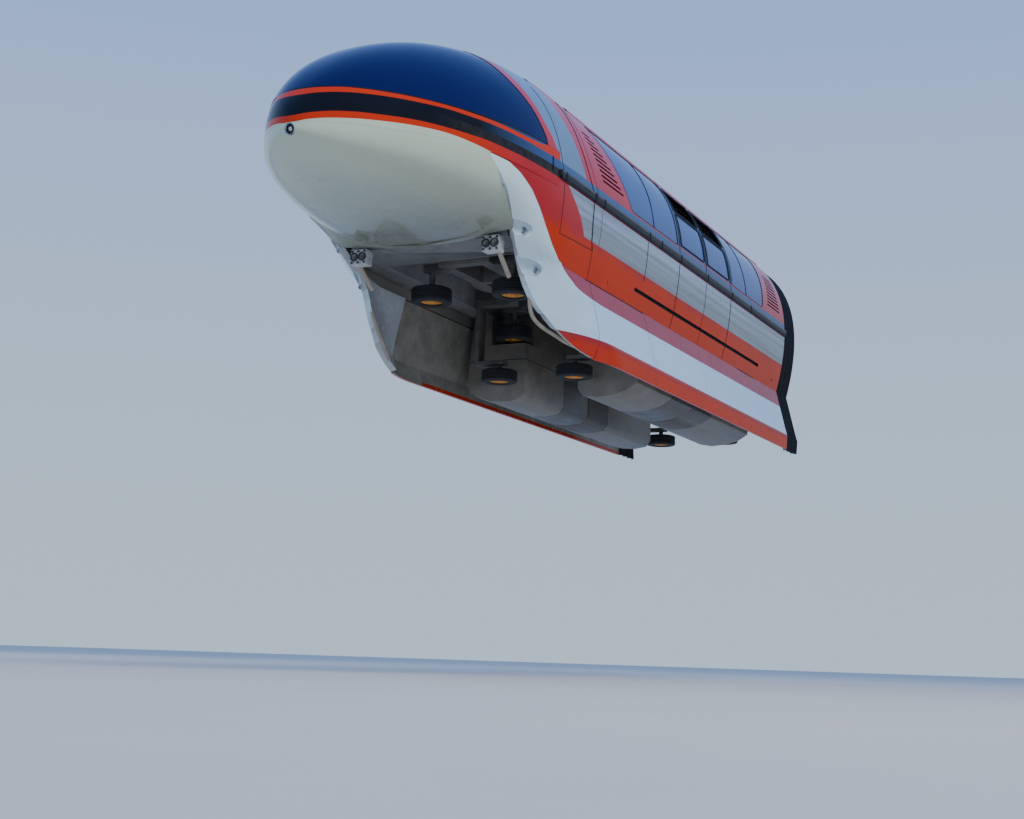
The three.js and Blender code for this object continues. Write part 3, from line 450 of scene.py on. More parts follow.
def follow(made, reference):
    """Gives the faces that lie along the reference its smooth normals, and leaves the others flat."""
    mesh = made.data
    mesh.shade_smooth()
    known = {}
    normals = [None] * len(mesh.loops)
    for face in mesh.polygons:
        middle = reference.normal(face.center)
        facing = face.normal.dot(middle) if middle else 0
        for loop in face.loop_indices:
            normals[loop] = face.normal
            if abs(facing) < ALONG_LEAST:
                continue
            vertex = mesh.loops[loop].vertex_index
            if vertex not in known:
                known[vertex] = reference.normal(mesh.vertices[vertex].co)
            if known[vertex]:
                normals[loop] = known[vertex] if facing > 0 else -known[vertex]
    mesh.normals_split_custom_set([tuple(n) for n in normals])
    return made


def mirrored(made, name):
    """The same piece on the car's right side."""
    mesh = made.data.copy()
    copy = placed(name, mesh)
    normals = [tuple(corner.vector) for corner in mesh.corner_normals]
    order = [(face.loop_start, face.loop_total) for face in mesh.polygons]
    mesh.transform(Matrix.Scale(-1, 4, (0, 1, 0)))
    mesh.flip_normals()
    turned_normals = [None] * len(normals)
    for start, total in order:
        for j in range(total):
            x, y, z = normals[start + (-j) % total]
            turned_normals[start + j] = (x, -y, z)
    mesh.normals_split_custom_set(turned_normals)
    return copy


def dress(made, material, body="car_body", replaces=()):
    made.data.materials.clear()
    made.data.materials.append(material)
    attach(made, body)
    if replaces:
        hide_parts(*replaces)
    return made


def pair(made, name, material, replaces=()):
    """Names the left piece, mirrors it, and dresses both; replaces are node names without their side."""
    made.name = f"{name}_left_v"
    other = mirrored(made, f"{name}_right_v")
    for piece, (side, _) in zip((made, other), SIDES):
        dress(piece, material, replaces=[f"{node}_{side}" for node in replaces])
    return made, other


# Materials
class Nodes:
    """A node tree that is built from short expressions."""

    def __init__(self, tree):
        self.tree = tree

    def feed(self, socket, value):
        if isinstance(value, bpy.types.NodeSocket):
            self.tree.links.new(value, socket)
        elif isinstance(value, tuple) and len(value) == 3 and len(socket.default_value) == 4:
            socket.default_value = (*value, 1)
        else:
            socket.default_value = value

    def add(self, kind, inputs=(), **settings):
        """A node of a kind, with its settings; inputs go by name or number."""
        node = self.tree.nodes.new("ShaderNode" + kind)
        for name, value in settings.items():
            setattr(node, name, value)
        for key, value in dict(inputs).items():
            self.feed(node.inputs[key], value)
        return node

    def math(self, operation, a, b=0.0, clamp=False):
        return self.add("Math", {0: a, 1: b}, operation=operation, use_clamp=clamp).outputs[0]

    def mix(self, mask, first, second):
        colour = any(isinstance(value, tuple) or getattr(value, "type", "") == "RGBA"
                     for value in (first, second))
        node = self.add("Mix", data_type="RGBA" if colour else "FLOAT")
        for socket, value in zip([s for s in node.inputs if s.enabled], (mask, first, second)):
            self.feed(socket, value)
        return next(s for s in node.outputs if s.enabled)


class Paint(Nodes):
    """One material, with masks by place in metres."""

    def __init__(self, name):
        self.material = bpy.data.materials.new(name)
        self.material.use_nodes = True
        super().__init__(self.material.node_tree)
        self.shader = self.tree.nodes["Principled BSDF"]
        self.place = self.add("TexCoord").outputs["Object"]
        self.x, self.y, self.z = self.add("SeparateXYZ", {0: self.place}).outputs

    def set(self, **values):
        for name, value in values.items():
            self.feed(self.shader.inputs[name.replace("_", " ")], value)

    def both(self, *masks):
        result = masks[0]
        for mask in masks[1:]:
            result = self.math("MULTIPLY", result, mask)
        return result

    def above(self, value, limit, soft=0.0015):
        """1 where value is over limit, 0 below, with a soft edge."""
        over = self.math("DIVIDE", self.math("SUBTRACT", value, limit), soft)
        return self.math("ADD", over, 0.5, clamp=True)

    def below(self, value, limit, soft=0.0015):
        return self.above(limit, value, soft)

    def within(self, value, low, high):
        return self.both(self.below(value, high), self.above(value, low))

    def layers(self, colour, *over):
        """The colour under layers of mask and colour, each over those before it."""
        for mask, upper in over:
            colour = self.mix(mask, colour, upper)
        return colour

    def facing(self):
        """The three parts of the direction that a face looks in."""
        return self.add("SeparateXYZ", {0: self.add("NewGeometry").outputs["Normal"]}).outputs

    def inside(self):
        """1 on faces that look towards the car's middle."""
        return self.below(self.math("MULTIPLY", self.facing()[1], self.math("SIGN", self.y)), -0.25, 0.1)

    def cut(self, front):
        """1 on faces cut through the skin behind a station: those that look along the car, up or down."""
        along, _, upright = (self.math("ABSOLUTE", part) for part in self.facing())
        found = self.math("MAXIMUM", self.above(along, 0.7, 0.1), self.above(upright, 0.9, 0.05))
        return self.both(found, self.below(self.x, front), self.below(self.z, CUT_TOP_Z))

    def curve(self, value, points):
        """A line through points of value and result, level beyond its ends."""
        (low, least), (high, most) = ([choose(column) for column in zip(*points)] for choose in (min, max))
        span = max(most - least, 1e-6)
        share = self.math("DIVIDE", self.math("SUBTRACT", value, low), high - low, clamp=True)
        node = self.add("FloatCurve", {"Value": share})
        line = node.mapping.curves[0]
        while len(line.points) < len(points):
            line.points.new(0.5, 0.5)
        for point, (at, result) in zip(line.points, sorted(points)):
            point.location = ((at - low) / (high - low), (result - least) / span)
            point.handle_type = "AUTO_CLAMPED"
        node.mapping.update()
        return self.math("ADD", self.math("MULTIPLY", node.outputs[0], span), least)

    def noise(self, scale, detail=3.0, stretch=None):
        place = self.place
        if stretch:
            place = self.add("Mapping", {"Vector": place, "Scale": stretch}).outputs[0]
        return self.add("TexNoise", {"Vector": place, "Scale": scale, "Detail": detail}).outputs[0]

    def between(self, share, low, high):
        """A value from low to high as share goes from 0.3 to 0.7, the usual spread of the noise."""
        return self.add("MapRange", {"Value": share, "From Min": 0.3, "From Max": 0.7, "To Min": low,
                                     "To Max": high}).outputs[0]

    def shade(self, colour, share, depth=0.12):
        """The colour, darker by up to depth where share is low."""
        return self.mix(self.between(share, 0, 1), tuple(c * (1 - depth) for c in colour), colour)

    def bump(self, height, strength=0.2, distance=0.001):
        node = self.add("Bump", {"Strength": strength, "Distance": distance, "Height": height})
        self.set(Normal=node.outputs[0])


# Colours, and where they begin and end
# Pink red: the red paint with a painted reflection of the sky in it
RED = (0.50, 0.026, 0.034)
ORANGE = (0.64, 0.036, 0.005)
WHITE = (0.70, 0.84, 0.83)
SKIRT_WHITE = (0.55, 0.76, 0.92)   # the skirt's white, with the sky in it
BELLY_WHITE = (0.59, 0.67, 0.49)
# Silver panels: a bluish white that is a painted reflection of the sky, and a dim grey that is a painted
# reflection of the ground and of the panels' waviness
SILVER = (0.68, 0.80, 0.98)
SILVER_DIM = (0.44, 0.49, 0.56)
BAND_GREY = (0.15, 0.25, 0.40)
STRIP_BLUE = (0.050, 0.110, 0.26)  # strip above the rail
STRIP = (0.842, 0.926)
STRIP_FRONT_X = 4.62
CUT_FRONT_X = 4.4                  # edges cut through the skin show dark behind this
CUT_TOP_Z = 1.78                   # and below this
# A greyer line on the black band where the rail runs on as a ledge: a painted highlight
LEDGE_HIGHLIGHT = (0.030, 0.026, 0.024)
PILLAR = (0.012, 0.028, 0.085)     # door pillars, as dark as the glass
PILLAR_X = (-0.60, 1.44)
PILLAR_Z = (0.945, 1.722)
# Dark red in the grilles' slots: painted shade on the red inside them
SLOT_RED = (0.26, 0.018, 0.022)
SLOT_X = (-2.05, 2.95)             # the grilles lie behind and ahead of these
BLACK = (0.008, 0.009, 0.013)
ROSE = (0.36, 0.030, 0.045)        # the red with a painted reflection of the sky, where the skirt turns up towards it
LINING = (0.34, 0.32, 0.26)        # inner faces of the skin
FIN_LINING = (0.52, 0.55, 0.54)
FLANGE_FRONT_X = 2.86              # the skirt's red return edge inside ends here

GLASS_LINE = ((4.5, 1.020), (5.6, 0.992), (6.15, 0.958), (6.6, 0.932), (7.0, 0.905), (7.5, 0.872))
STRIPE_TOP = ((4.6, 1.060), (4.83, 1.060), (4.90, 0.990), (5.16, 0.972), (5.75, 0.966), (6.0, 0.957),
              (6.51, 0.933), (6.83, 0.915), (7.08, 0.892), (7.32, 0.845))
STRIPE_LOW = ((4.6, 0.925), (5.47, 0.929), (5.75, 0.927), (6.0, 0.918), (6.21, 0.912), (6.51, 0.892),
              (6.83, 0.868), (7.08, 0.843), (7.32, 0.780))
LOW_RED_TOP = ((4.6, 0.755), (5.16, 0.757), (5.75, 0.758), (6.0, 0.749), (6.21, 0.740), (6.51, 0.724),
               (6.83, 0.694), (7.08, 0.667), (7.25, 0.630), (7.32, 0.598))
LOW_RED_LOW = ((5.70, 0.664), (6.0, 0.682), (6.21, 0.688), (6.51, 0.672), (6.83, 0.638), (7.08, 0.606),
               (7.25, 0.572), (7.32, 0.540))
WHITE_EDGE = ((-3.4, -0.225), (3.3, -0.218), (3.6, -0.208), (3.94, -0.175), (4.09, -0.115), (4.21, -0.055),
              (4.36, 0.06), (4.54, 0.22), (4.72, 0.36), (4.88, 0.50), (5.06, 0.62), (5.75, 0.75))
SILVER_FRONT = ((0.20, 3.95), (0.33, 3.95), (0.45, 4.02), (0.60, 4.20), (0.74, 4.42))
SILVER_Z = (0.36, 0.742)
GREY_LOW = 0.80
GREY_FRONT = ((0.84, 4.585), (0.92, 4.61), (1.08, 4.69), (1.24, 4.83), (1.42, 4.95), (1.70, 5.10),
              (2.06, 5.15))
GREY_REAR = ((0.84, 3.97), (0.95, 4.01), (1.06, 4.08), (1.25, 4.20), (1.45, 4.33), (1.62, 4.43), (2.06, 4.50))
WHITE_LOW = -0.622
FLANGE_TOP_Z = -0.775
NOSE_WHITE_REAR_X = 5.72


def gloss(paint, coat=0.15, specular=0.30):
    """The lacquer of the painted skin, with a faint waviness."""
    paint.set(Coat_Weight=coat, Coat_Roughness=0.04, Specular_IOR_Level=specular)
    paint.bump(paint.noise(3.0, 2.0), 0.12, 0.002)
    return paint.material


def body_paint():
    """Red body, silver panels below the belt, and the grey band behind the canopy. The red is pinker where
    the side faces up, a painted reflection of the sky, and is the paint's orange red lower down. The silver
    is bluer high up, a painted reflection of the sky, and darker low down, a painted reflection of the
    ground.
    """
    p = Paint("body_paint_v")
    grain = p.noise(2.2, 4.0)
    outside = p.math("SUBTRACT", 1.0, p.inside())
    silver = p.both(p.within(p.z, *SILVER_Z), outside, p.below(p.x, p.curve(p.z, SILVER_FRONT)))
    grey = p.both(p.above(p.z, GREY_LOW), p.within(p.x, p.curve(p.z, GREY_REAR), p.curve(p.z, GREY_FRONT)))
    # Pink red above a wavy line and orange red below it: the pink is a painted reflection of the sky where
    # the side faces up
    uneven = p.math("ADD", p.z, p.math("MULTIPLY", p.noise(2.6, 3.0), 0.20))
    low = p.below(uneven, SILVER_Z[0] + 0.07, 0.09)
    red = p.mix(low, p.shade(RED, grain, 0.10), p.shade(ORANGE, grain, 0.08))
    # Streaks along the car, and a darker lower part: painted reflections of the panels' waviness and of the
    # ground on the silver
    streaks = p.noise(1.0, 2.0, (0.35, 1, 18))
    sheen = p.mix(p.between(streaks, 0, 1), SILVER_DIM, SILVER)
    sheen = p.mix(p.above(p.z, 0.47, 0.34), p.mix(0.45, sheen, SILVER_DIM), sheen)
    strip = p.both(p.within(p.z, *STRIP), p.below(p.x, STRIP_FRONT_X))
    pillar = p.both(p.within(p.z, *PILLAR_Z), p.within(p.x, *PILLAR_X))
    # Faces cut through the skin in the grilles' slots are dark red, painted shade in the slots; elsewhere
    # they are black
    at_slots = p.math("MAXIMUM", p.above(p.x, SLOT_X[1]), p.below(p.x, SLOT_X[0]))
    edges = p.mix(at_slots, p.shade(BLACK, grain, 0.3), p.shade(SLOT_RED, grain, 0.3))
    colour = p.layers(red, (grey, p.shade(BAND_GREY, grain, 0.10)), (strip, p.shade(STRIP_BLUE, grain, 0.15)),
                      (pillar, p.shade(PILLAR, grain, 0.20)), (silver, sheen),
                      (p.inside(), p.shade(LINING, grain, 0.10)), (p.cut(CUT_FRONT_X), edges))
    p.set(Base_Color=colour, Metallic=p.math("MULTIPLY", silver, 0.80),
          Roughness=p.mix(pillar, p.mix(silver, 0.22, p.between(streaks, 0.30, 0.20)), 0.10))
    return gloss(p)


def skirt_paint():
    """White band between the red above the skirt's bend and the red along its lower edge."""
    p = Paint("skirt_paint_v")
    grain = p.noise(2.0, 4.0)
    upper = p.above(p.z, p.curve(p.x, WHITE_EDGE))
    lower = p.below(p.z, WHITE_LOW)
    white = p.mix(p.above(p.x, 4.3, 1.6), p.shade(SKIRT_WHITE, grain, 0.06), p.shade(WHITE, grain, 0.05))
    # Rose red above the white and at the top of the lower red band: the red with a painted reflection of the
    # sky; orange at the very bottom
    colour = p.mix(upper, white, p.shade(ROSE, grain, 0.10))
    edge = p.mix(p.below(p.z, -0.66, 0.08), ROSE, ORANGE)
    colour = p.mix(lower, colour, p.mix(p.between(grain, 0, 0.12), edge, BLACK))
    flange = p.both(p.below(p.z, FLANGE_TOP_Z), p.below(p.x, FLANGE_FRONT_X))
    bare = p.mix(p.above(p.x, SKIRT_FRONT_X), p.shade(LINING, p.noise(5.0, 5.0), 0.35),
                 p.shade(FIN_LINING, p.noise(3.0, 4.0), 0.15))
    lining = p.mix(flange, bare, p.shade(ORANGE, grain, 0.2))
    colour = p.mix(p.inside(), colour, lining)
    p.set(Base_Color=colour, Roughness=p.between(p.noise(12.0, 3.0), 0.20, 0.30))
    return gloss(p, 0.08, 0.22)


def belly_paint():
    p = Paint("belly_paint_v")
    grain = p.noise(1.6, 4.0)
    # Dark brown low down and towards the rear: dust, and painted shade beneath the belly
    dust_and_shade = p.both(p.below(p.z, 0.26, 0.42), p.below(p.x, 6.3, 1.8))
    soiled_and_shaded = p.mix(p.between(p.noise(7.0, 5.0), 0, 1), (0.085, 0.076, 0.058), (0.14, 0.128, 0.098))
    colour = p.mix(p.math("MULTIPLY", dust_and_shade, 0.92), p.shade(BELLY_WHITE, grain, 0.05), soiled_and_shaded)
    p.set(Base_Color=colour, Roughness=p.between(p.noise(9.0, 3.0), 0.20, 0.30))
    return gloss(p, 0.5)


def band_paint():
    """Black band round the nose, with the thin stripe above and the red band below it."""
    p = Paint("band_paint_v")
    grain = p.noise(3.0, 3.0)
    stripe = p.within(p.z, p.curve(p.x, STRIPE_LOW), p.curve(p.x, STRIPE_TOP))
    red = p.below(p.z, p.curve(p.x, LOW_RED_TOP))
    white = p.both(p.below(p.z, p.curve(p.x, LOW_RED_LOW)), p.above(p.x, NOSE_WHITE_REAR_X))
    rear = p.below(p.x, 5.35, 1.1)
    upper = p.above(p.z, STRIP[0])
    # Where the rail runs on as a ledge, the black is painted greyer: a painted highlight on that ledge
    ledge_highlight = p.both(p.below(p.z, STRIP[0]), p.below(p.x, 6.2, 0.5))
    black = p.mix(p.both(rear, upper), p.shade(BLACK, grain, 0.3), p.shade(STRIP_BLUE, grain, 0.2))
    black = p.mix(ledge_highlight, black, p.shade(LEDGE_HIGHLIGHT, p.noise(14.0, 5.0), 0.6))
    # Pink red towards the rear, a painted reflection of the sky as on the sides; the paint's orange red ahead
    low_red = p.mix(p.above(p.x, 5.6, 0.8), p.shade(RED, grain, 0.08), p.shade(ORANGE, grain, 0.08))
    colour = p.layers(black, (stripe, p.shade(ORANGE, grain, 0.05)), (red, low_red),
                      (white, p.shade(BELLY_WHITE, grain, 0.05)))
    p.set(Base_Color=colour, Roughness=p.between(p.noise(12.0, 3.0), 0.10, 0.18))
    return gloss(p, 0.0, 0.14)


def glass(name, tint, through, ior=1.45):
    p = Paint(name)
    p.set(Base_Color=p.shade(tint, p.noise(1.1, 2.0), 0.12), Roughness=0.03, IOR=ior,
          Transmission_Weight=through)
    p.bump(p.noise(1.7, 2.0), 0.08, 0.002)
    return p.material


def plain(name, colour, roughness, metallic=0.0, scale=14.0, depth=0.18, bump=0.15):
    """A material whose colour, gloss and surface vary a little by noise."""
    p = Paint(name)
    share = p.noise(scale, 4.0)
    p.set(Base_Color=p.shade(colour, share, depth), Roughness=p.between(share, *roughness), Metallic=metallic)
    p.bump(p.noise(scale * 7, 2.0), bump, 0.0006)
    return p.material


WEAVE_SCALE = 420


def fabric(name, colour, accent):
    p = Paint(name)
    weave = p.add("TexVoronoi", {"Vector": p.place, "Scale": WEAVE_SCALE})
    patch = p.noise(9.0, 3.0)
    colour = p.mix(p.above(patch, 0.56, 0.06), p.shade(colour, patch, 0.2), accent)
    p.set(Base_Color=colour, Roughness=0.92, Sheen_Weight=0.3)
    p.bump(weave.outputs["Distance"], 0.5, 0.0015)
    return p.material


# The pans' grey is darkened as painted shade under the car
PAN_GREY = (0.27, 0.24, 0.19)
PAN_DIM = (0.13, 0.118, 0.095)
STRUT_BEIGE = (0.46, 0.39, 0.28)
CASTING_WHITE = (0.66, 0.66, 0.62)
PAN_JOINTS_X = (1.05, -0.30)
PAN_JOINT_Z = -0.42
STRUT_TOP_Z = -0.032


def pan_paint():
    """Grey pans, their grey painted dark as shade under the car: a darker panel low in the middle, joints
    between the sheets, and an uneven tone.
    """
    p = Paint("pan_v")
    dirt = p.noise(5.0, 5.0)
    front, rear = PAN_JOINTS_X
    panel = p.both(p.within(p.x, rear, front), p.below(p.z, PAN_JOINT_Z))
    joints = 0.0
    for along, place, half in ((p.x, front, 0.006), (p.x, rear, 0.006), (p.z, PAN_JOINT_Z, 0.004)):
        line = p.below(p.math("ABSOLUTE", p.math("SUBTRACT", along, place)), half)
        joints = p.math("MAXIMUM", joints, line)
    colour = p.layers(p.shade(PAN_GREY, dirt, 0.40), (panel, p.shade(PAN_DIM, dirt, 0.35)),
                      (joints, p.shade(BLACK, dirt, 0.3)))
    p.set(Base_Color=colour, Metallic=0.15, Roughness=p.between(dirt, 0.35, 0.60))
    p.bump(p.noise(40.0, 2.0), 0.15, 0.0006)
    return p.material


def bracket_paint():
    """Pale casting, with the strut below it in beige."""
    p = Paint("bracket_v")
    dirt = p.noise(16.0, 4.0)
    strut = p.below(p.z, STRUT_TOP_Z)
    colour = p.mix(strut, p.shade(CASTING_WHITE, dirt, 0.40), p.shade(STRUT_BEIGE, dirt, 0.25))
    p.set(Base_Color=colour, Roughness=p.between(dirt, 0.35, 0.60))
    p.bump(p.noise(90.0, 2.0), 0.3, 0.0006)
    return p.material


BODY = body_paint()
SKIRT_PAINT = skirt_paint()
BELLY = belly_paint()
BAND = band_paint()
CANOPY_GLASS = glass("canopy_glass_v", (0.005, 0.010, 0.12), 0.35, 1.28)
WINDOW_GLASS = glass("window_glass_v", (0.018, 0.075, 0.34), 0.20, 1.9)
SEAL = plain("seal_v", (0.010, 0.010, 0.011), (0.5, 0.7))
RUBBER = plain("rubber_v", (0.018, 0.018, 0.019), (0.7, 0.9), scale=22, bump=0.5)
BELLOWS = plain("bellows_v", (0.012, 0.012, 0.014), (0.75, 0.95), scale=30, bump=0.6)
STEEL = plain("frame_steel_v", (0.16, 0.15, 0.13), (0.45, 0.7), 0.25, 10, 0.35)
BEIGE = plain("beige_steel_v", STRUT_BEIGE, (0.45, 0.65), 0.1, 10, 0.30)
CASTING = plain("casting_v", (0.07, 0.07, 0.075), (0.4, 0.65), 0.5, 16, 0.4, 0.5)
HUB = plain("hub_v", (0.80, 0.34, 0.03), (0.35, 0.5), 0.0, 9, 0.25)
BRIGHT = plain("bright_metal_v", (0.72, 0.72, 0.72), (0.12, 0.25), 1.0, 20, 0.2, 0.05)
LENS = glass("lens_v", (0.85, 0.88, 0.90), 0.9)
PAN = pan_paint()
BRACKET = bracket_paint()
FLOOR_METAL = plain("floor_metal_v", (0.24, 0.235, 0.22), (0.5, 0.75), 0.2, 8, 0.35)
PANEL = plain("inner_panel_v", (0.50, 0.50, 0.48), (0.5, 0.65), 0.0, 6, 0.12)
DARK = plain("dark_trim_v", (0.03, 0.03, 0.033), (0.6, 0.8), 0.0, 20, 0.3, 0.3)
# Dark red behind the grilles' slots: painted shade
GRILLE_BACK = plain("grille_back_v", (0.16, 0.011, 0.014), (0.6, 0.8), 0.0, 20, 0.3, 0.3)
SEAT = fabric("seat_fabric_v", (0.05, 0.09, 0.22), (0.10, 0.15, 0.30))


# Body sides, doors and glass
SILL_Z = 0.975
HEAD_Z = 1.690
TRANSOM_Z = (1.365, 1.395)
GLASS_HEAD = 1.387                 # a door's glass ends here; above it the window is an open vent
# Columns: name, front and rear x at the sill, front and rear x at the head
WINDOWS = (
    ("front_a", 2.750, 2.170, 3.420, 2.230), ("front_b", 2.120, 1.430, 2.180, 1.450),
    ("door_front", DOOR_FRONT_X - 0.06, DOOR_MID_X + 0.06, DOOR_FRONT_X - 0.06, DOOR_MID_X + 0.06),
    ("door_rear", DOOR_MID_X - 0.06, DOOR_REAR_X + 0.06, DOOR_MID_X - 0.06, DOOR_REAR_X + 0.06),
    ("rear_a", -0.590, -1.110, -0.590, -1.090), ("rear_b", -1.160, -1.800, -1.140, -2.060),
)
REBATE = 0.034                     # how far a sheet of glass reaches past its windows
REBATE_DEPTHS = (-0.02, 0.012)
REBATE_RADIUS = 0.05
SHEET_DEPTHS = (0.004, 0.011)      # a sheet's outer and inner face, below the side's
SHEET_RADIUS = 0.045
SHEET_PLAY = 0.004
# Columns: front x and rear x at the lowest slot, front x and rear x at the highest
GRILLES = ((3.560, 3.010, 3.820, 3.620), (-2.080, -2.640, -2.280, -2.640))
SLOT_COUNT = 10
SLOT_LOW = 1.040
SLOT_HIGH = 1.490
SLOT_HEIGHT = 0.022
SLOT_LEAN = 0.006
SLOT_RADIUS = 0.008
SLOT_REACH = (0.95, 1.35)
TRACK = (-1.870, 2.520, 0.150, 0.190)
TRACK_DEPTH = (1.118, 1.3)
THROUGH_SIDE = (0.7, 1.4)          # from y to y, through the side
WINDOW_RADIUS = 0.04


def side_grid(xs, first, last, depth, section_of=section_at):
    return [[(x, y, z) for y, z in inset_section(section_of(x), depth)[first:last + 1]] for x in xs]


def side_skin(name, rear, front, first, last, outer, inner):
    xs = stations(rear, front)
    return skin(name, side_grid(xs, first, last, outer), side_grid(xs, first, last, inner))


def window_outlines(row):
    """Outlines of a window's openings: two for a door, glass below and vent above."""
    name, sill_front, sill_rear, head_front, head_rear = row
    spans = [(SILL_Z, HEAD_Z)]
    if name.startswith("door"):
        spans = [(SILL_Z, TRANSOM_Z[0]), (TRANSOM_Z[1], HEAD_Z)]
    return [rounded([(sill_rear, low), (sill_front, low), (head_front, high), (head_rear, high)],
                    WINDOW_RADIUS) for low, high in spans]


def union_outline(rows, grow, radius):
    """Outline round a run of windows, from the first row's front edge to the last row's rear edge."""
    first, last = rows[0], rows[-1]
    head = GLASS_HEAD if first[0].startswith("door") else HEAD_Z + grow
    return rounded([(last[2] - grow, SILL_Z - grow), (first[1] + grow, SILL_Z - grow),
                    (first[3] + grow, head), (last[4] - grow, head)], radius)


def slots(row):
    """Tools for one grille's slots."""
    tools = []
    for i in range(SLOT_COUNT):
        share = i / (SLOT_COUNT - 1)
        front = row[0] + (row[2] - row[0]) * share
        rear = row[1] + (row[3] - row[1]) * share
        low = SLOT_LOW + (SLOT_HIGH - SLOT_LOW) * share
        high = low + SLOT_HEIGHT
        ends = [(rear, low), (front - SLOT_LEAN, low), (front + SLOT_LEAN, high), (rear, high)]
        tools.append(prism("slot", rounded(ends, SLOT_RADIUS, 3), *SLOT_REACH))
    return tools


side_reference = Reference(side_grid(stations(REAR_X - 0.1, SIDE_FRONT_X, 0.25), CREASE_K,
                                     len(section_at(0)) - 1, 0))


def side_piece(node, rear, front, windows, extras=()):
    """A wall of the side with its windows, the seat of their glass and its share of the door track."""
    wall = side_skin(node, rear + GAP, front - GAP, CREASE_K, ROOF_EDGE_K, 0, WALL)
    tools = [prism("window", outline, *THROUGH_SIDE) for row in windows for outline in window_outlines(row)]
    tools.append(box("track", *TRACK[:2], *TRACK_DEPTH, *TRACK[2:]))
    groove = side_skin("groove", rear - 0.02, front + 0.02, BELT_K, ROOF_EDGE_K, *REBATE_DEPTHS)
    frame_outline = union_outline(windows, REBATE, REBATE_RADIUS)
    carve(groove, [prism("frame", frame_outline, *THROUGH_SIDE)], "INTERSECT")
    carve(wall, [groove])
    carve(wall, tools)
    if extras:
        carve(wall, extras)
    follow(wall, side_reference)
    pair(wall, node, BODY, [node])


row_of = {row[0]: row for row in WINDOWS}
notch = box("notch", HOOP_X - GAP, 6.0, 0.4, 1.4, 0.665, 2.3)
tip = box("tip", TONGUE_X, 6.0, 0.7, 1.4, 0.0, 0.664)
side_piece("side_front", DOOR_FRONT_X, SIDE_FRONT_X, [row_of["front_a"], row_of["front_b"]],
           [notch, tip, *slots(GRILLES[0])])
side_piece("side_rear", REAR_X, DOOR_REAR_X, [row_of["rear_a"], row_of["rear_b"]], slots(GRILLES[1]))
side_piece("door_leaf_front", DOOR_MID_X, DOOR_FRONT_X, [row_of["door_front"]])
side_piece("door_leaf_rear", DOOR_REAR_X, DOOR_MID_X, [row_of["door_rear"]])


def sheet_outline(rows):
    return union_outline(rows, REBATE - SHEET_PLAY, SHEET_RADIUS)


def glass_piece(node, rows):
    """One flush sheet of glass over a run of windows."""
    low = min(min(row[2], row[4]) for row in rows) - 0.2
    high = max(max(row[1], row[3]) for row in rows) + 0.2
    sheet = side_skin(node, low, high, BELT_K, ROOF_EDGE_K, *SHEET_DEPTHS)
    carve(sheet, [prism("edge", sheet_outline(rows), *THROUGH_SIDE)], "INTERSECT")
    follow(sheet, side_reference)
    pair(sheet, node, WINDOW_GLASS, [node])


for place, names in (("front", ("front_a", "front_b")), ("rear", ("rear_a", "rear_b")),
                     ("door_front", ("door_front",)), ("door_rear", ("door_rear",))):
    glass_piece(f"glass_{place}", [row_of[name] for name in names])

# Skirts, fins, roof and nose
EDGE_DROPS = (0.0016, 0.0048)      # lowers the upper edge clear of the side, outside and inside
FIN_TIP_X = float(FIN_FRONT[0][0])


def fin_section(x):
    return section_at(x, edge_z(x))


def lowered_skin(name, xs, thickness, section_of=section_at):
    """A piece of the skirt whose upper edge stands clear of the side."""
    grids = []
    for depth, drop in zip((0, thickness), EDGE_DROPS):
        grid = np.array(side_grid(xs, 0, CREASE_K, depth, section_of))
        grid[:, -1, 2] -= drop
        grids.append(grid)
    return skin(name, *grids)


# The fin's turn runs on past its edge in the reference, so that the normals stay true there
skirt_reference = Reference([[(x, y, z) for y, z in section_at(x, most=1.3)[:CREASE_K + 1]]
                             for x in stations(REAR_X - 0.1, FIN_TIP_X, 0.25)])
skirt = lowered_skin("skirt", stations(REAR_X + GAP, SKIRT_FRONT_X - GAP), SKIRT_THICK)
follow(skirt, skirt_reference)
pair(skirt, "skirt", SKIRT_PAINT, ["skirt"])

# Half domes with a flat floor
# Columns: x at the fin's front edge, z of the floor, length, height, x of the lamp's lens
SCOOPS = ((5.060, 0.112, 0.200, 0.148, 4.965), (4.745, -0.176, 0.245, 0.158, 4.600))
SCOOP_DEPTH = 0.056


def dome(front, low, length, height):
    """The hollow of a scoop."""
    work = bmesh.new()
    bmesh.ops.create_uvsphere(work, u_segments=40, v_segments=24, radius=1)
    cutoff = bmesh.ops.bisect_plane(work, geom=[*work.verts, *work.edges, *work.faces],
                                    plane_co=(0, 0, 0), plane_no=(0, 0, -1), clear_outer=True)
    rim = [edge for edge in cutoff["geom_cut"] if isinstance(edge, bmesh.types.BMEdge)]
    bmesh.ops.holes_fill(work, edges=rim)
    made = from_bmesh("dome", work)
    face = face_y(front, low + height / 2)
    swing = math.atan2(face - face_y(front - length, low + height / 2), length)
    made.data.transform(Matrix.Translation((front, face, low)) @ Matrix.Rotation(swing, 4, "Z")
                        @ Matrix.Diagonal((length, SCOOP_DEPTH, height, 1)))
    return outward(made)


fin_xs = stations(SKIRT_FRONT_X + GAP, FIN_TIP_X)
fin = lowered_skin("fin", fin_xs, FIN_THICK, fin_section)
carve(fin, [dome(front, low, length, height) for front, low, length, height, _ in SCOOPS])
follow(fin, skirt_reference)
pair(fin, "fin", SKIRT_PAINT, ["fin"])

RIB_Y = 0.790
roof_xs = stations(REAR_X + GAP, HOOP_X - GAP)


def arch_grid(xs, first, depths):
    """Sections from side to side; depths is one inset, or one for each station."""
    grid = []
    for x, depth in zip(xs, np.broadcast_to(depths, len(xs))):
        half = inset_section(section_at(x), depth)[first:]
        grid.append([(x, y, z) for y, z in half] + [(x, -y, z) for y, z in half[-2::-1]])
    return grid


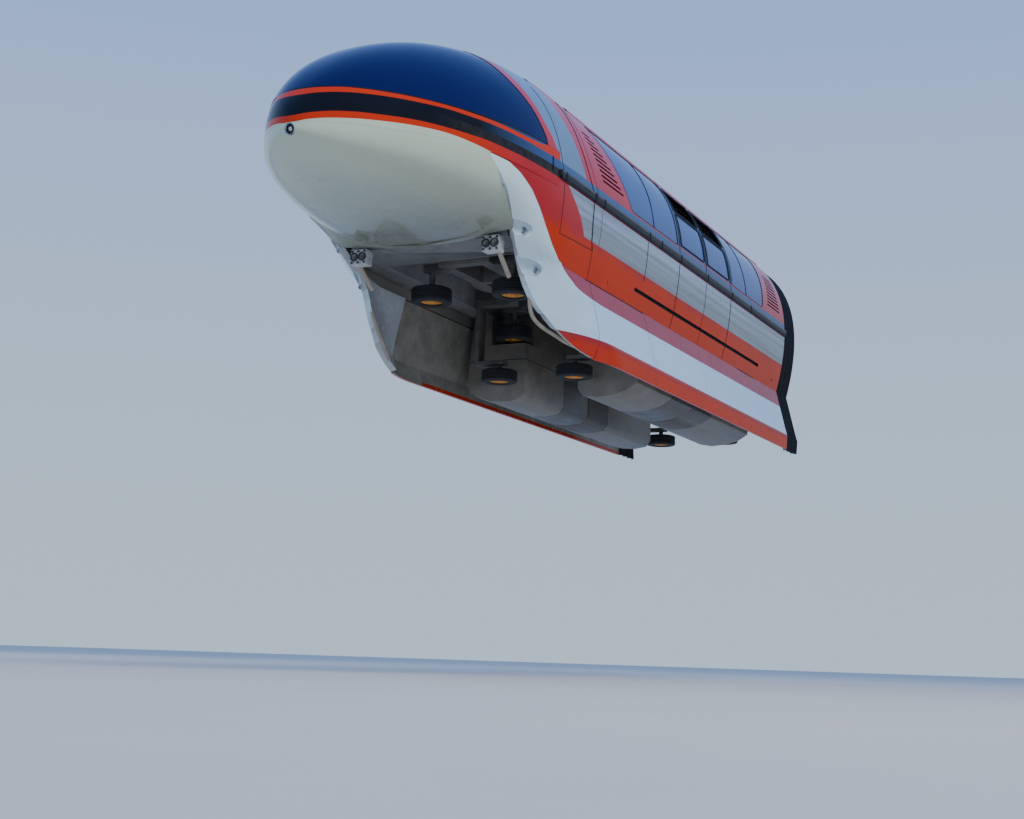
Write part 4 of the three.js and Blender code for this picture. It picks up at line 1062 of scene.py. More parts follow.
whole = Reference(arch_grid(stations(REAR_X - 0.1, SIDE_FRONT_X, 0.25), BELT_K, 0))
roof = skin("roof_v", arch_grid(roof_xs, ROOF_EDGE_K, 0), arch_grid(roof_xs, ROOF_EDGE_K, ROOF_THICK))
follow(roof, whole)
dress(roof, BODY, replaces=["roof"])

RING_COUNT = 144
NOSE_ROWS = 64
NOSE_REAR_X = 4.5


def nose_grid(depth, count=RING_COUNT):
    """Rings round the nose from its rear to near its tip, moved inwards by a depth."""
    grid = []
    for i in range(NOSE_ROWS):
        share = i / NOSE_ROWS
        x = NOSE_REAR_X + (NOSE_TIP - NOSE_REAR_X) * (1 - (1 - share) ** 2)
        half, rise, drop = half_width(x, depth), roof_rise(x, depth), keel_drop(x, depth)
        ring = []
        for j in range(count):
            angle = math.radians(-90 + 360 * j / RING_COUNT)
            c, s = math.cos(angle), math.sin(angle)
            power = 2 / (ROOF_POWER if s > 0 else BELLY_POWER)
            across = 0 if abs(c) < 1e-9 else math.copysign(abs(c) ** power, c)
            up = 0 if abs(s) < 1e-9 else math.copysign(abs(s) ** power, s)
            ring.append((x - depth * (x - NOSE_REAR_X) / (NOSE_TIP - NOSE_REAR_X), half * across,
                         belt_z(x) + (rise if s > 0 else drop) * up))
        grid.append(ring)
    return grid


def nose_shell(name, thickness):
    """The closed skin of the whole nose, open at its rear end."""
    points, faces = [], []
    for depth in (0, thickness):
        start = len(points)
        for ring in nose_grid(depth):
            points += ring
        tip = len(points)
        points.append((NOSE_TIP - depth, 0, TIP_Z))
        for i in range(NOSE_ROWS):
            for j in range(RING_COUNT):
                a, b = start + i * RING_COUNT + j, start + i * RING_COUNT + (j + 1) % RING_COUNT
                ahead_of = [b + RING_COUNT, a + RING_COUNT] if i < NOSE_ROWS - 1 else [tip]
                faces.append([a, b, *ahead_of][::1 if depth == 0 else -1])
    inner = NOSE_ROWS * RING_COUNT + 1
    for j in range(RING_COUNT):
        k = (j + 1) % RING_COUNT
        faces.append([k, j, inner + j, inner + k])
    return outward(mesh_object(name, points, faces))


CANOPY_REAR_X = 4.845
CANOPY_EDGE = ((4.850, 1.060), (4.890, 1.130), (5.000, 1.290), (5.120, 1.430), (5.240, 1.570),
               (5.310, 1.720), (5.335, 1.850), (5.345, 2.300))
BELLY_START = ((4.980, -0.300), (4.980, 0.200))
BELLY_FIN_X = 5.130                # the belly's rear edge follows the fin's front edge from here on
BELLY_CLEAR = 0.001
BAND_LOW_Z = 0.665
NOSE_END = (7.500, 0.530)


def glass_line(x):
    return float(np.interp(x, *np.array(GLASS_LINE).T))


def line_above(offset, start):
    """The glass line from a start on, moved up by an offset."""
    return [(x, glass_line(x) + offset) for x in (start, *(p[0] for p in GLASS_LINE[1:]))]


nose_reference = Reference(nose_grid(0, RING_COUNT + 1))
canopy_edge = curve_through(CANOPY_EDGE, 6)

# Lamp in the tip of the nose: its place and how far it looks down
NOSE_LAMP = (7.3055, 0.0, 0.490)
NOSE_LAMP_TILT = math.radians(16)
NOSE_POCKET = ((0, -0.028), (0.052, -0.028), (0.052, 0.030), (0, 0.030))


def on_tip(name, profile, sides=32):
    """A turned piece about the nose lamp's axis; profile rows are radius and height out of the nose."""
    made = turned(name, profile, (0, 0, 0), "x", sides)
    made.data.transform(Matrix.Translation(NOSE_LAMP) @ Matrix.Rotation(NOSE_LAMP_TILT, 4, "Y"))
    return made


def nose_piece(name, node, outline, material, thickness=NOSE_SKIN, holes=()):
    """The part of the nose's skin that lies in an outline seen from the side."""
    piece = nose_shell(name, thickness)
    carve(piece, [prism("region", outline, -1.5, 1.5)], "INTERSECT")
    if holes:
        carve(piece, holes)
    follow(piece, nose_reference)
    dress(piece, material, replaces=[node])


canopy_outline = [*line_above(0, CANOPY_REAR_X + GAP), (NOSE_END[0], 2.3),
                  *[(x + GAP, z) for x, z in reversed(canopy_edge)]]
nose_piece("canopy_v", "canopy", canopy_outline, CANOPY_GLASS, GLASS_SKIN)
hoop_outline = [*[(x, glass_line(x) + GAP) for x in (HOOP_X, CANOPY_REAR_X)], *canopy_edge, (HOOP_X, 2.3)]
nose_piece("cab_hoop_v", "cab_hoop", hoop_outline, BODY)
band_outline = [(HOOP_X, BAND_LOW_Z), (FIN_TIP_X, BAND_LOW_Z), NOSE_END, *reversed(line_above(-GAP, HOOP_X))]
nose_piece("nose_band_v", "nose_band", band_outline, BAND)
belly_outline = [*BELLY_START, *[(x + BELLY_CLEAR, edge_z(x)) for x in fin_xs if x > BELLY_FIN_X],
                 (FIN_TIP_X + BELLY_CLEAR, BAND_LOW_Z - GAP), (NOSE_END[0], NOSE_END[1] - GAP),
                 (NOSE_END[0], BELLY_START[0][1])]
nose_piece("belly_v", "belly", belly_outline, BELLY, holes=[on_tip("pocket", NOSE_POCKET)])

# Rails, seams and trim along the body
SKIN_EPS = 0.004


def on_side(x, z, out=0.0):
    """A point of the left side's outer face at a station and height, moved outwards."""
    section = section_at(x)
    low, here, high = np.interp((z - SKIN_EPS, z, z + SKIN_EPS), section[:, 1], section[:, 0])
    normal = Vector((0, 2 * SKIN_EPS, low - high)).normalized()
    return Vector((x, here, z)) + normal * out


BEAD_STEP = 0.05


def line_on_side(points, radius, out=0.0, closed=False):
    """A thin bead along a line of stations and heights on the left side."""
    path = []
    points = [*points, points[0]] if closed else list(points)
    for (x0, z0), (x1, z1) in zip(points, points[1:]):
        count = max(1, math.ceil(math.dist((x0, z0), (x1, z1)) / BEAD_STEP))
        path += [(x0 + (x1 - x0) * j / count, z0 + (z1 - z0) * j / count) for j in range(count)]
    path.append(points[-1])
    return tube("bead", [on_side(x, z, out) for x, z in path], radius, 8)


# Columns: radius, points as x and z
BENT_SEAMS = (
    (0.0035, curve_through(((4.74, 1.66), (4.69, 1.50), (4.65, 1.32), (4.60, 1.115), (4.56, 0.95),
                            (4.53, 0.85)))),
    (0.0050, curve_through(((4.10, 1.74), (4.10, 1.55), (4.05, 1.27), (3.94, 1.04), (3.85, 0.90),
                            (3.81, 0.85)))),
    (0.0022, curve_through(((3.98, 1.70), (3.97, 1.50), (3.92, 1.27), (3.82, 1.05), (3.72, 0.90),
                            (3.69, 0.85)))),
    (0.0035, [(4.500, 0.735), (4.490, 0.50), (4.462, 0.257), (3.700, 0.281)]),
    (0.0065, [(3.800, 0.735), (3.795, 0.55), (3.760, 0.37), (3.710, 0.275)]),
    (0.0030, [(3.710, 0.275), (3.690, 0.10), (3.680, 0.0)]),
    (0.0050, [(3.720, -0.012), (2.150, -0.012)]), (0.0050, [(-1.120, -0.012), (-1.760, -0.012)]),
    (0.0030, [(HOOP_X, 0.735), (4.597, 0.80)]),
)
# Columns: radius, x, from z, to z
UPRIGHT_SEAMS = (
    (0.0022, 3.580, 0.735, 0.36), (0.0040, 2.320, 0.735, 0.30), (0.0045, DOOR_FRONT_X, 0.735, 0.0),
    (0.0030, DOOR_MID_X, 0.735, 0.0), (0.0045, DOOR_REAR_X, 0.735, 0.0), (0.0045, DOOR_FRONT_X, 0.845, 1.745),
    (0.0045, DOOR_MID_X, 0.845, 1.745), (0.0045, DOOR_REAR_X, 0.845, 1.745), (0.0035, 3.620, -0.03, -0.80),
    (0.0030, 2.130, -0.03, -0.81), (0.0022, 0.420, -0.03, -0.81), (0.0022, -1.233, -0.03, -0.81),
)
SKIRT_TOP_Z = -0.02
SEAM_SINK = 0.0018                 # the skirt's seams are sunk this deep, so that they stay within its width
seam_lines = [*BENT_SEAMS, *((radius, [(x, start), (x, end)]) for radius, x, start, end in UPRIGHT_SEAMS)]
seams = joined("seams", [line_on_side(points, radius, -SEAM_SINK if points[0][1] < SKIRT_TOP_Z else 0)
                         for radius, points in seam_lines])
pair(smooth(seams, 60), "seams", SEAL)

# Black frames: round the flush windows, round each opening of a door, and the bars between panes
frame_beads = [line_on_side(sheet_outline([row_of[a], row_of[b]]), 0.006, -0.003, closed=True)
               for a, b in (("front_a", "front_b"), ("rear_a", "rear_b"))]
frame_beads += [line_on_side(line, 0.006, -0.004) for line in (
    [(2.145, SILL_Z - 0.03), (2.205, HEAD_Z + 0.03)], [(-1.135, SILL_Z - 0.03), (-1.115, HEAD_Z + 0.03)])]
frame_beads += [line_on_side(outline, 0.011, -0.004, closed=True)
                for name in ("door_front", "door_rear") for outline in window_outlines(row_of[name])]
pair(smooth(joined("frames", frame_beads), 60), "window_frames", SEAL)

# Rubbing rail: section as outwards and height
RAIL_SECTION = ((-0.014, 0.755), (0.014, 0.755), (0.0225, 0.760), (0.0250, 0.768), (0.0250, 0.785),
                (0.0210, 0.790), (0.0210, 0.796), (0.0250, 0.801), (0.0250, 0.830), (0.0220, 0.840),
                (0.014, 0.845), (-0.014, 0.845))
RAIL_JOINTS = ((4.500, 0.011), (3.800, 0.020), (3.580, 0.011), (2.320, 0.011), (1.960, 0.009),
               (DOOR_FRONT_X, 0.013), (DOOR_MID_X, 0.009), (DOOR_REAR_X, 0.013), (-1.260, 0.009))
RAIL_BACK = 0.012
RAIL_STRIP_Z = 0.792


def rail_part(rear, front, grow=0.0):
    """A stretch of the rail; its points stand out a little more by grow."""
    xs = stations(rear, front, 0.25)
    outer = [[(x, half_width(x) + (out + grow), z) for out, z in RAIL_SECTION] for x in xs]
    inner = [[(x, half_width(x) + min(out, 0) - RAIL_BACK, z) for out, z in RAIL_SECTION] for x in xs]
    return skin("rail", outer, inner)


def rail_paint():
    """Black, with a dull strip along the rail's lower half that is painted darker as shade."""
    p = Paint("rail_v")
    strip = p.below(p.z, RAIL_STRIP_Z, 0.001)
    upper = p.shade((0.040, 0.038, 0.040), p.noise(6.0), 0.4)
    lower = p.shade((0.010, 0.010, 0.012), p.noise(20.0, 4.0), 0.5)
    p.set(Base_Color=p.mix(strip, upper, lower), Roughness=p.mix(strip, 0.28, 0.5))
    return p.material


rail = smooth(rail_part(REAR_X + GAP, HOOP_X - GAP), 40)
pair(rail, "belt_rail", rail_paint())
clamps = joined("clamps", [rail_part(x - half, x + half, 0.004) for x, half in RAIL_JOINTS])
pair(clamps, "rail_clamps", SEAL)

# Dark floors of the door track and of the grilles, and two markers on each side
track_floor = box("track_floor", TRACK[0] + 0.002, TRACK[1] - 0.002, 1.108, 1.1195,
                  TRACK[2] + 0.001, TRACK[3] - 0.001)
pair(track_floor, "door_track", DARK)


# A dark red sheet behind each grille's slots: painted shade inside the grille
def grille_back(row):
    xs = [row[0] + 0.03, row[1] - 0.03, row[3] - 0.03, row[2] + 0.03]
    outline = list(zip(xs, (SLOT_LOW - 0.03, SLOT_LOW - 0.03, SLOT_HIGH + 0.05, SLOT_HIGH + 0.05)))
    sheet = side_skin("back", min(xs) - 0.02, max(xs) + 0.02, BELT_K, ROOF_EDGE_K, WALL + 0.002, WALL + 0.008)
    return carve(sheet, [prism("edge", outline, *THROUGH_SIDE)], "INTERSECT")


grille_backs = joined("grille_backs", [grille_back(row) for row in GRILLES])
pair(grille_backs, "grille_backs", GRILLE_BACK)


def disc_on_side(x, z, radius, profile):
    """A small turned fitting that stands on the left side."""
    place = on_side(x, z)
    outwards = (on_side(x, z, 1.0) - place).normalized()
    made = turned("fitting", [(r * radius, h) for r, h in profile], (0, 0, 0), "z", 20)
    made.data.transform(Matrix.Translation(place) @ outwards.to_track_quat("Z", "Y").to_matrix().to_4x4())
    return made


MARKER = ((0, -0.004), (1, -0.004), (1, 0.004), (0.8, 0.007), (0.7, 0.004), (0.45, 0.009), (0, 0.011))
marks = joined("marks", [disc_on_side(x, z, radius, MARKER) for x, z, radius in
                         ((3.190, 0.085, 0.022), (-2.55, 0.10, 0.020))])
pair(smooth(marks, 40), "side_markers", BODY)

# Lamps in the scoops, and the lamp in the nose tip
LAMP_TURNED = ((0.0, -0.088), (0.92, -0.088), (1.0, -0.080), (1.0, -0.006), (0.94, 0.0), (0.80, 0.0),
               (0.74, -0.008), (0.60, -0.030), (0.0, -0.044))
LENS_TURNED = ((0.0, -0.006), (0.40, -0.009), (0.72, -0.016), (0.72, -0.022), (0.0, -0.020))
LAMP_RADIUS = 0.030
lamps, lenses = [], []
for _, low, _, _, lens_x in SCOOPS:
    place = (lens_x, face_y(lens_x - 0.090, low) - LAMP_RADIUS, low + 0.050)
    lamps.append(turned("lamp", [(r * LAMP_RADIUS, h) for r, h in LAMP_TURNED], place, "x", 28))
    lenses.append(turned("lens", [(r * LAMP_RADIUS, h) for r, h in LENS_TURNED], place, "x", 24))
pair(smooth(joined("lamps", lamps), 30), "fin_lamps", BRIGHT)
pair(smooth(joined("lenses", lenses), 30), "fin_lenses", LENS)

NOSE_RING = ((0.040, -0.014), (0.048, -0.014), (0.048, -0.002), (0.045, 0.001), (0.042, -0.002),
             (0.040, -0.008))
NOSE_BULB = ((0.0, -0.018), (0.020, -0.018), (0.018, -0.011), (0.011, -0.007), (0.0, -0.006))
# A dark cup lines the lamp's pocket: its dark inside is painted shade
NOSE_CUP = ((0.0, -0.026), (0.0505, -0.026), (0.0505, -0.004), (0.0482, -0.004), (0.0482, -0.018),
            (0.0, -0.018))
nose_lamp = joined("nose_lamp_v", [on_tip("ring", NOSE_RING), on_tip("bulb", NOSE_BULB, 20)])
dress(smooth(nose_lamp, 30), BRIGHT)
dress(smooth(on_tip("nose_cup_v", NOSE_CUP), 30), SEAL)

# Tube that carries the fin's lower corner from behind
FIN_TUBE = ((4.600, 0.930, -0.130), (4.430, 0.870, -0.516), (4.050, 0.985, -0.670), (3.850, 1.070, -0.722))
fin_tube = smooth(tube("fin_tube", curve_through(FIN_TUBE, 8), 0.020, 14), 60)
pair(fin_tube, "fin_tube", BEIGE)

# Cheek that closes the wedge between the belly's rear corner and the fin
CHEEK = (0.430, 0.160)             # heights of its upper and lower end at the fin
CHEEK_ROWS = 14


def belly_point(x, z, depth=0.0):
    """A point of the belly's left half at a station and height."""
    down = min(max((belt_z(x) - z) / keel_drop(x, depth), 0), 1)
    return Vector((x, half_width(x, depth) * (1 - down ** BELLY_POWER) ** (1 / BELLY_POWER), z))


cheek_grids = []
for depth in (0.0, 0.006):
    grid = []
    for i in range(CHEEK_ROWS + 1):
        share = i / CHEEK_ROWS
        z = CHEEK[0] + (CHEEK[1] - CHEEK[0]) * share
        x = edge_x(z)
        at_fin = Vector((x - 0.012 - depth, face_y(x - 0.012, z) - 0.025, z + depth))
        at_belly = belly_point(x + 0.045 - 0.060 * share, z - 0.065 * share, 0.003)
        at_belly += Vector((-depth, 0, depth))
        row = [at_belly.lerp(at_fin, t) + Vector((0.020, 0.004, -0.014)) * (4 * t * (1 - t) * share)
               for t in np.linspace(0, 1, 9)]
        grid.append([tuple(p) for p in row])
    cheek_grids.append(grid)
pair(smooth(skin("cheek", *cheek_grids), 50), "belly_cheek", BELLY)

# Seal along the canopy's edges, and the joint across the band behind it
nose_line = [(x, z) for x, z in canopy_edge if z < 2.03]


def on_nose(x, z, out=0.0):
    """A point of the nose's left half above the belt."""
    rise = roof_rise(x)
    up = min(max((z - belt_z(x)) / rise, 0), 1)
    across = (1 - up ** ROOF_POWER) ** (1 / ROOF_POWER)
    half = half_width(x)
    normal = Vector((0, across ** (ROOF_POWER - 1) / half, up ** (ROOF_POWER - 1) / rise)).normalized()
    return Vector((x, half * across, belt_z(x) + rise * up)) + normal * out


BAND_JOINT_X = 4.75
SEAL_RADIUS = 0.0055
JOINT_RADIUS = 0.009
canopy_side = [on_nose(x, z, -0.001) for x, z in nose_line]
glass_xs = np.linspace(CANOPY_REAR_X, 7.05, 40)
canopy_low = [on_nose(x, glass_line(x), -0.001) for x in glass_xs]
seal = joined("seal", [
    tube("canopy_seal", [*reversed(canopy_low), *canopy_side], SEAL_RADIUS, 8),
    tube("joint", [on_nose(BAND_JOINT_X, z) for z in np.linspace(0.790, 0.925, 6)], JOINT_RADIUS, 8)])
pair(smooth(seal, 60), "canopy_seal", SEAL)

# Roof ribs: section as across and above the roof's face
RIB_SECTION = ((-0.030, -0.012), (-0.026, 0.018), (-0.014, 0.027), (0.014, 0.027), (0.026, 0.018),
               (0.030, -0.012))
RIB_TOP = 0.027


def rib(rear, front, height):
    grid = []
    for x in stations(rear, front, 0.25):
        section = section_at(x)
        order = np.argsort(section[:, 0])
        row = []
        for across, up in RIB_SECTION:
            y = RIB_Y + across
            z = float(np.interp(y, section[order, 0], section[order, 1])) if y > 0 else ROOF_Z
            row.append((x, y, z + (up * height / RIB_TOP if up > 0 else up)))
        grid.append(row)
    return skin("rib", grid, [[(x, y, z - 0.004) for x, y, z in row] for row in grid])


ribs = joined("ribs", [rib(REAR_X + GAP, 3.640, 0.024), rib(3.640, 4.560, 0.010)])
pair(smooth(ribs, 30), "roof_rib", BODY)

# Bellows with rounded folds
FOLDS = 3
FOLD_DEPTH = 0.045
FOLD_STEPS = 12
BELLOWS_REAR_X = -3.360
bellows_xs = np.linspace(BELLOWS_REAR_X, REAR_X - GAP, FOLD_STEPS * FOLDS + 1)
fold_depths = [0.008 + FOLD_DEPTH * (0.5 - 0.5 * math.cos(2 * math.pi * i / FOLD_STEPS))
               for i in range(FOLD_STEPS * FOLDS + 1)]
bellows = skin("bellows_v", arch_grid(bellows_xs, 0, fold_depths),
               arch_grid(bellows_xs, 0, [depth + 0.026 for depth in fold_depths]))
dress(smooth(bellows, 50), BELLOWS, replaces=["gangway_bellows"])


# Wheels: profiles of radius and height about the axle
GROOVE_DEPTH = 0.006
GROOVE_HALF = 0.007


def tyre_profile(radius, half, rim, grooves):
    """Section of a tyre, from its inner edge round over the tread and back."""
    outer = [(rim, -half * 0.94), (rim + 0.010, -half), (radius - 0.030, -half * 0.985),
             (radius - 0.010, -half * 0.90), (radius - 0.001, -half * 0.74)]
    for place in grooves:
        z = place * half
        floor_half = GROOVE_HALF * 0.6
        outer += [(radius, z - GROOVE_HALF), (radius - GROOVE_DEPTH, z - floor_half),
                  (radius - GROOVE_DEPTH, z + floor_half), (radius, z + GROOVE_HALF)]
    outer += [(r, -z) for r, z in outer[4::-1]]
    return [*outer, (rim - 0.006, half * 0.8), (rim - 0.006, -half * 0.8)]


def bolts(centre, axis, ring, height, radius, count, out):
    """A ring of bolt heads."""
    made = []
    for j in range(count):
        angle = 2 * math.pi * (j + 0.5) / count
        u, v = ring * math.cos(angle), ring * math.sin(angle)
        offset = {"z": (u, v, 0), "y": (u, 0, v)}[axis]
        place = [c + d for c, d in zip(centre, offset)]
        profile = [(0, height), (radius, height), (radius, height + out * 0.7), (radius * 0.75, height + out),
                   (0, height + out)]
        made.append(turned("bolt", profile, place, axis, 6))
    return made


def middle_of(node):
    low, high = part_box(node)
    return tuple((a + b) / 2 for a, b in zip(low, high))


def guide_wheel(node, radius, half):
    """A yellow hub with a grooved rubber tyre, its closed face down."""
    centre = middle_of(node)
    body = f"{node}_body"
    rim = radius * 0.56
    tyre = turned(f"{node}_tyre_v", tyre_profile(radius, half, rim, (-0.42, 0, 0.42)), centre, "z", 56)
    dress(smooth(tyre, 30), RUBBER, body, [node])
    face = -half * 0.72
    hub = [turned("hub", [
        (0, face - 0.016), (0.026, face - 0.014), (0.031, face - 0.004), (0.034, face + 0.010),
        (rim * 0.72, face + 0.012), (rim * 0.82, face - 0.002), (rim - 0.004, face - 0.004),
        (rim, face + 0.004), (rim, -face), (rim * 0.8, -face), (rim * 0.7, -face - 0.012),
        (0.045, -face - 0.012), (0.042, half * 0.75), (0.0305, half * 0.75), (0.0305, -half * 0.44),
        (0, -half * 0.44)], centre, "z", 40)]
    hub += bolts(centre, "z", rim * 0.52, face - 0.002, 0.009, 6, 0.012)
    dress(smooth(joined(f"{node}_hub_v", hub), 30), HUB, body)


def load_wheel(node):
    """A wide tyre on a bolted rim, turning about the axle."""
    centre = middle_of(node)
    body = f"{node}_body"
    rim = 0.172
    profile = tyre_profile(0.280, 0.150, rim, (-0.6, -0.3, 0, 0.3, 0.6))
    tyre = turned(f"{node}_tyre_v", profile, centre, "y", 72)
    dress(smooth(tyre, 30), RUBBER, body, [node])
    side = [(0.039, 0.128), (0.070, 0.128), (0.080, 0.080), (0.135, 0.066), (0.160, 0.110), (0.168, 0.138),
            (rim, 0.138)]
    wheel = [turned("rim", side + [(radius, -along) for radius, along in reversed(side)], centre, "y", 40)]
    wheel += bolts(centre, "y", 0.108, 0.074, 0.010, 8, 0.012)
    dress(smooth(joined(f"{node}_rim_v", wheel), 30), CASTING, body)


# Columns: kind, radius, half width
SIDE_WHEELS = (("guide_wheel_outer", 0.210, 0.080), ("guide_wheel_inner", 0.210, 0.080),
               ("steady_wheel", 0.200, 0.070))
for place in ("front", "rear"):
    load_wheel(f"load_wheel_{place}")
    for side, _ in SIDES:
        for kind, radius, half in SIDE_WHEELS:
            guide_wheel(f"{kind}_{side}_{place}", radius, half)

# Bracket: bolts round its two holes, and a ring in each
BRACKET_FACE = (5.0605, 0.045)     # its x, and the height of the holes
bracket_parts = []
ring = [(0.031, -0.004), (0.043, -0.004), (0.043, 0.010), (0.040, 0.013), (0.031, 0.013)]
bolt = [(0, 0.0), (0.012, 0.0), (0.012, 0.010), (0.009, 0.013), (0, 0.013)]
for hole_y in (0.680, 0.770):
    bracket_parts.append(turned("ring", ring, (BRACKET_FACE[0], hole_y, BRACKET_FACE[1]), "x", 24))
for bolt_z in (0.100, -0.012):
    for bolt_y in (0.655, 0.725, 0.795):
        bracket_parts.append(turned("bolt", bolt, (BRACKET_FACE[0], bolt_y, bolt_z), "x", 6))
bracket_trim = smooth(joined("bracket_trim", bracket_parts), 30)
pair(bracket_trim, "bracket_trim", CASTING)


# Cushions: crowned closed forms whose sides pull in between the corners, with welts and sewn channels
CROWN = 0.022
TUCK = 0.018                       # how far the sides pull in between the corners
CUSHION_CUTS = 22
CHANNEL = (0.011, 0.009)           # depth and half width
WELT_RADIUS = 0.005


def tucked(u, v, half, pull):
    """A point of a cushion's outline from its place in a square."""
    return [reach * a - math.copysign(pull * (1 - b * b) * abs(a) ** 5, a)
            for reach, a, b in zip(half, (u, v), (v, u))]


def cushion(name, centre, size, channels, tilt):
    """A cushion of a size about its centre; channels are places across y from -1 to 1."""
    work = bmesh.new()
    bmesh.ops.create_cube(work, size=2)
    bmesh.ops.subdivide_edges(work, edges=work.edges[:], cuts=CUSHION_CUTS, use_grid_fill=True)
    half = [s / 2 for s in size]
    for vert in work.verts:
        cube = np.array(vert.co)
        u, v, w = cube / np.linalg.norm(cube, ord=9)
        x, y = tucked(u, v, half, TUCK + TUCK * (1 - abs(w)))
        z = (half[2] - CROWN) * w + math.copysign(CROWN * (1 - u ** 4) * (1 - v ** 4) * abs(w), w)
        for place in channels:
            deep = CHANNEL[0] * math.exp(-((v - place) * half[1] / CHANNEL[1]) ** 2)
            z -= math.copysign(deep * max(abs(w) - 0.5, 0) * 2, w)
        vert.co = (x, y, z)
    made = from_bmesh(name, work)
    made.data.transform(Matrix.Translation(centre) @ Matrix.Rotation(tilt, 4, "Y"))
    return smooth(made, 180)


def welt(name, centre, size, height, tilt):
    """Piping round a cushion at a height above its middle."""
    path = []
    for angle in np.linspace(0, 2 * math.pi, 81):
        c, s = math.cos(angle), math.sin(angle)
        reach = (abs(c) ** 9 + abs(s) ** 9) ** (-1 / 9)
        x, y = tucked(c * reach, s * reach, [s / 2 for s in size[:2]], 1.4 * TUCK)
        path.append(Matrix.Rotation(tilt, 4, "Y") @ Vector((x, y, height)) + Vector(centre))
    return smooth(tube(name, path, WELT_RADIUS, 8), 60)


def pad(name, centre, size, tilt=0.0, channels=()):
    """A cushion with its welts, upholstered."""
    piece = cushion(name, centre, size, channels, tilt)
    dress(piece, SEAT)
    rims = [welt("welt", centre, size, place * size[2] * 0.27, tilt) for place in (-1, 1)]
    dress(joined(f"{name}_welt", rims), SEAT_TRIM)


SEAT_TRIM = plain("seat_trim_v", (0.03, 0.035, 0.06), (0.5, 0.7), scale=30)
HOUSING_TOP = 0.6203
CAB_FLOOR_TOP = 0.4543
BENCH_HALF = 0.720
for place, front, facing in (("front", 1.810, 1), ("rear", -1.810, -1)):
    channels = (-0.5, 0.0, 0.5)
    size = (0.455, 2 * BENCH_HALF, 0.094)
    pad(f"bench_{place}_seat_v", (front + facing * 0.232, 0, HOUSING_TOP + 0.052), size, channels=channels)
    size = (0.500, 2 * BENCH_HALF, 0.090)
    pad(f"bench_{place}_back_v", (front + facing * 0.515, 0, HOUSING_TOP + 0.350), size,
        -facing * math.radians(84), channels)
    shell_x = sorted((front + facing * 0.565, front + facing * 0.585))
    shell = box(f"bench_{place}_shell_v", *shell_x, -BENCH_HALF, BENCH_HALF, HOUSING_TOP + 0.001,
                HOUSING_TOP + 0.615)
    dress(shell, DARK, replaces=[f"bench_{place}"])
CAB_SEAT = (5.25, 0.33)
for side, sign in SIDES:
    seat_x, seat_y = CAB_SEAT[0], CAB_SEAT[1] * sign
    pad(f"cab_seat_{side}_squab_v", (seat_x + 0.020, seat_y, CAB_FLOOR_TOP + 0.302), (0.500, 0.470, 0.105),
        channels=(-0.45, 0.45))
    pad(f"cab_seat_{side}_back_v", (seat_x - 0.245, seat_y, CAB_FLOOR_TOP + 0.655), (0.600, 0.460, 0.090),
        tilt=math.radians(80), channels=(-0.45, 0.45))
    plinth = joined("plinth", [
        box("foot", seat_x - 0.155, seat_x + 0.155, seat_y - 0.155, seat_y + 0.155, CAB_FLOOR_TOP + 0.001,
            CAB_FLOOR_TOP + 0.030),
        turned("column", [(0, -0.10), (0.060, -0.10), (0.048, 0.0), (0.060, 0.12), (0, 0.12)],
               (seat_x, seat_y, CAB_FLOOR_TOP + 0.130), "z", 24)])
    plinth.name = f"cab_seat_{side}_plinth_v"
    dress(smooth(plinth, 30), CASTING, replaces=[f"cab_seat_{side}"])

# Finishes of the nodes that show as they are
NODE_LOOKS = (
    ("floor", FLOOR_METAL), ("wheel_housing", FLOOR_METAL), ("rear_wall", PANEL), ("cab_partition", PANEL),
    ("cab_floor_and_desk", DARK), ("equipment_pan", PAN), ("towing_bracket", BRACKET), ("bogie_frame", STEEL),
    ("traction_motor", CASTING),
)
BEVEL = 0.004
for node_name, node in nodes.items():
    if node.hide_render:
        continue
    look = next((material for start, material in NODE_LOOKS if node_name.startswith(start)), PANEL)
    node.data.materials.clear()
    node.data.materials.append(look)
    weld = node.modifiers.new("weld", "WELD")
    weld.merge_threshold = 0.0001
    bevel = node.modifiers.new("bevel", "BEVEL")
    bevel.width = BEVEL
    bevel.segments = 2
    bevel.limit_method = "ANGLE"
    bevel.angle_limit = math.radians(40)
    smooth(node, 28)

# Stage, camera and light. The floor is clear from below, so that views from there show the car.
FLOOR_Z = -3.97
FLOOR_REACH = 80
FLOOR_BEIGE = (0.72, 0.66, 0.56)
corners = [(x * FLOOR_REACH, y * FLOOR_REACH, FLOOR_Z) for x, y in ((-1, -1), (1, -1), (1, 1), (-1, 1))]
floor = mesh_object("stage_floor", corners, [[0, 1, 2, 3]])
p = Paint("stage_floor_v")
p.set(Base_Color=p.shade(FLOOR_BEIGE, p.noise(0.6, 3.0), 0.04), Roughness=0.8)
one_sided = p.add("MixShader", {0: p.add("NewGeometry").outputs["Backfacing"], 1: p.shader.outputs[0],
                                2: p.add("BsdfTransparent").outputs[0]})
p.feed(p.tree.nodes["Material Output"].inputs["Surface"], one_sided.outputs[0])
floor.data.materials.append(p.material)

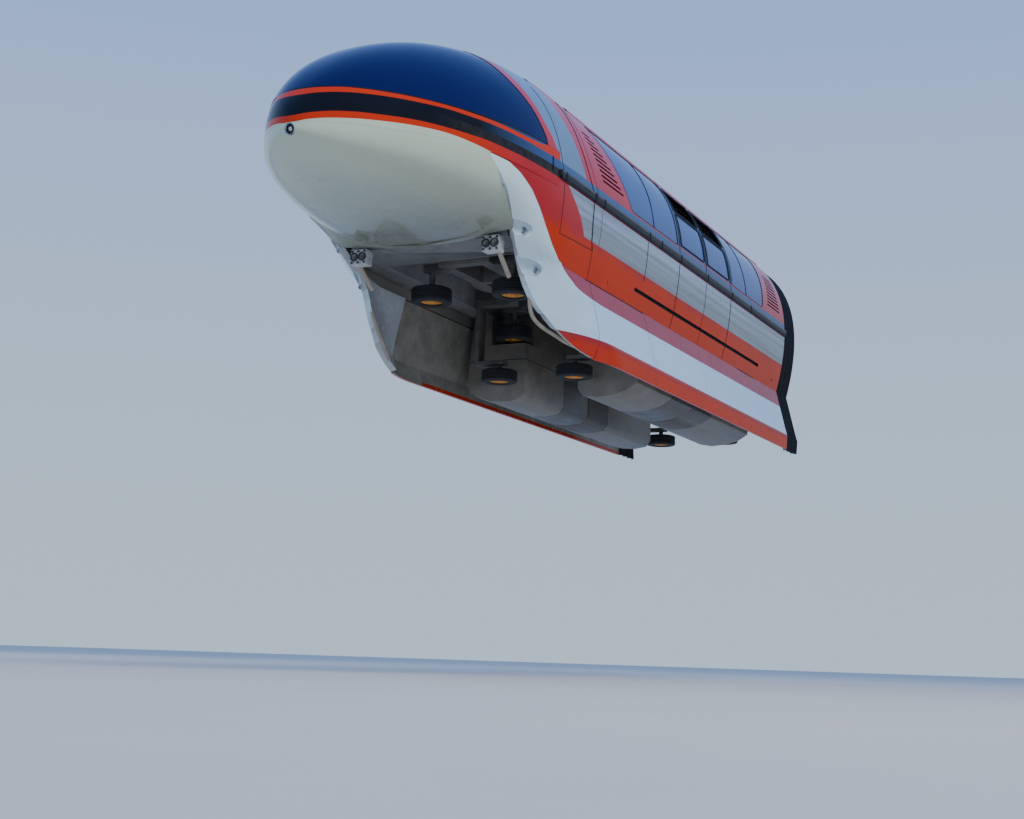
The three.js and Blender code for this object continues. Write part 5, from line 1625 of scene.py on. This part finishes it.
CAMERA_PLACE = Vector((17.029, 7.051, -3.771))
YAW, PITCH, ROLL = (math.radians(a) for a in (26.79, 9.43, 1.83))
CAMERA_LENS = 52.73
ahead = Vector((-math.cos(YAW) * math.cos(PITCH), -math.sin(YAW) * math.cos(PITCH), math.sin(PITCH)))
level = ahead.cross(Vector((0, 0, 1))).normalized()
over = level.cross(ahead)
right = level * math.cos(ROLL) + over * math.sin(ROLL)
up = over * math.cos(ROLL) - level * math.sin(ROLL)
camera_data = bpy.data.cameras.new("camera")
camera_data.lens = CAMERA_LENS
camera_data.sensor_width = 36
camera_data.clip_end = 300
camera = placed("camera", camera_data)
camera.matrix_world = Matrix.Translation(CAMERA_PLACE) @ Matrix((right, up, -ahead)).transposed().to_4x4()
bpy.context.scene.camera = camera

# Columns: name, place, point it faces, width, height, power, colour
LIGHTS = (
    ("key", (12, 14, 14), (2, 0, 0.5), 14, 10, 3000, (1.0, 0.95, 0.88)),
    ("far", (0, -16, 9), (0, 0, 0.5), 18, 8, 700, (0.98, 0.97, 0.95)),
)
for name, place, target, width, height, power, colour in LIGHTS:
    data = bpy.data.lights.new(name, "AREA")
    data.shape = "ELLIPSE"
    data.size = width
    data.size_y = height
    data.energy = power
    data.color = colour
    lamp = placed(name, data)
    lamp.visible_glossy = False
    direction = Vector(target) - Vector(place)
    lamp.matrix_world = Matrix.Translation(place) @ direction.to_track_quat("-Z", "Y").to_matrix().to_4x4()

# Soft surroundings: pale blue at the horizon, deeper above, dimmer low on the car's left
HORIZON_BLUE = (0.66, 0.83, 1.0)
HIGH_BLUE = (0.25, 0.50, 1.20)
LOW_GREY = (0.25, 0.26, 0.26)
SKY_STRENGTH = 0.85
world = bpy.data.worlds.new("world")
world.use_nodes = True
sky = Nodes(world.node_tree)
leftwards, upwards = sky.add("SeparateXYZ", {0: sky.add("TexCoord").outputs["Generated"]}).outputs[1:]


def eased(value, low, high):
    """0 at low and 1 at high, with a soft start and end."""
    return sky.add("MapRange", {"Value": value, "From Min": low, "From Max": high},
                   interpolation_type="SMOOTHSTEP").outputs[0]


low_left = sky.math("MULTIPLY", eased(leftwards, -0.1, 0.5), eased(upwards, 0.45, 0.08))
open_sky = sky.mix(eased(upwards, 0.0, 0.75), HORIZON_BLUE, HIGH_BLUE)
background = world.node_tree.nodes["Background"]
sky.feed(background.inputs[0], sky.mix(low_left, open_sky, LOW_GREY))
background.inputs[1].default_value = SKY_STRENGTH
bpy.context.scene.world = world
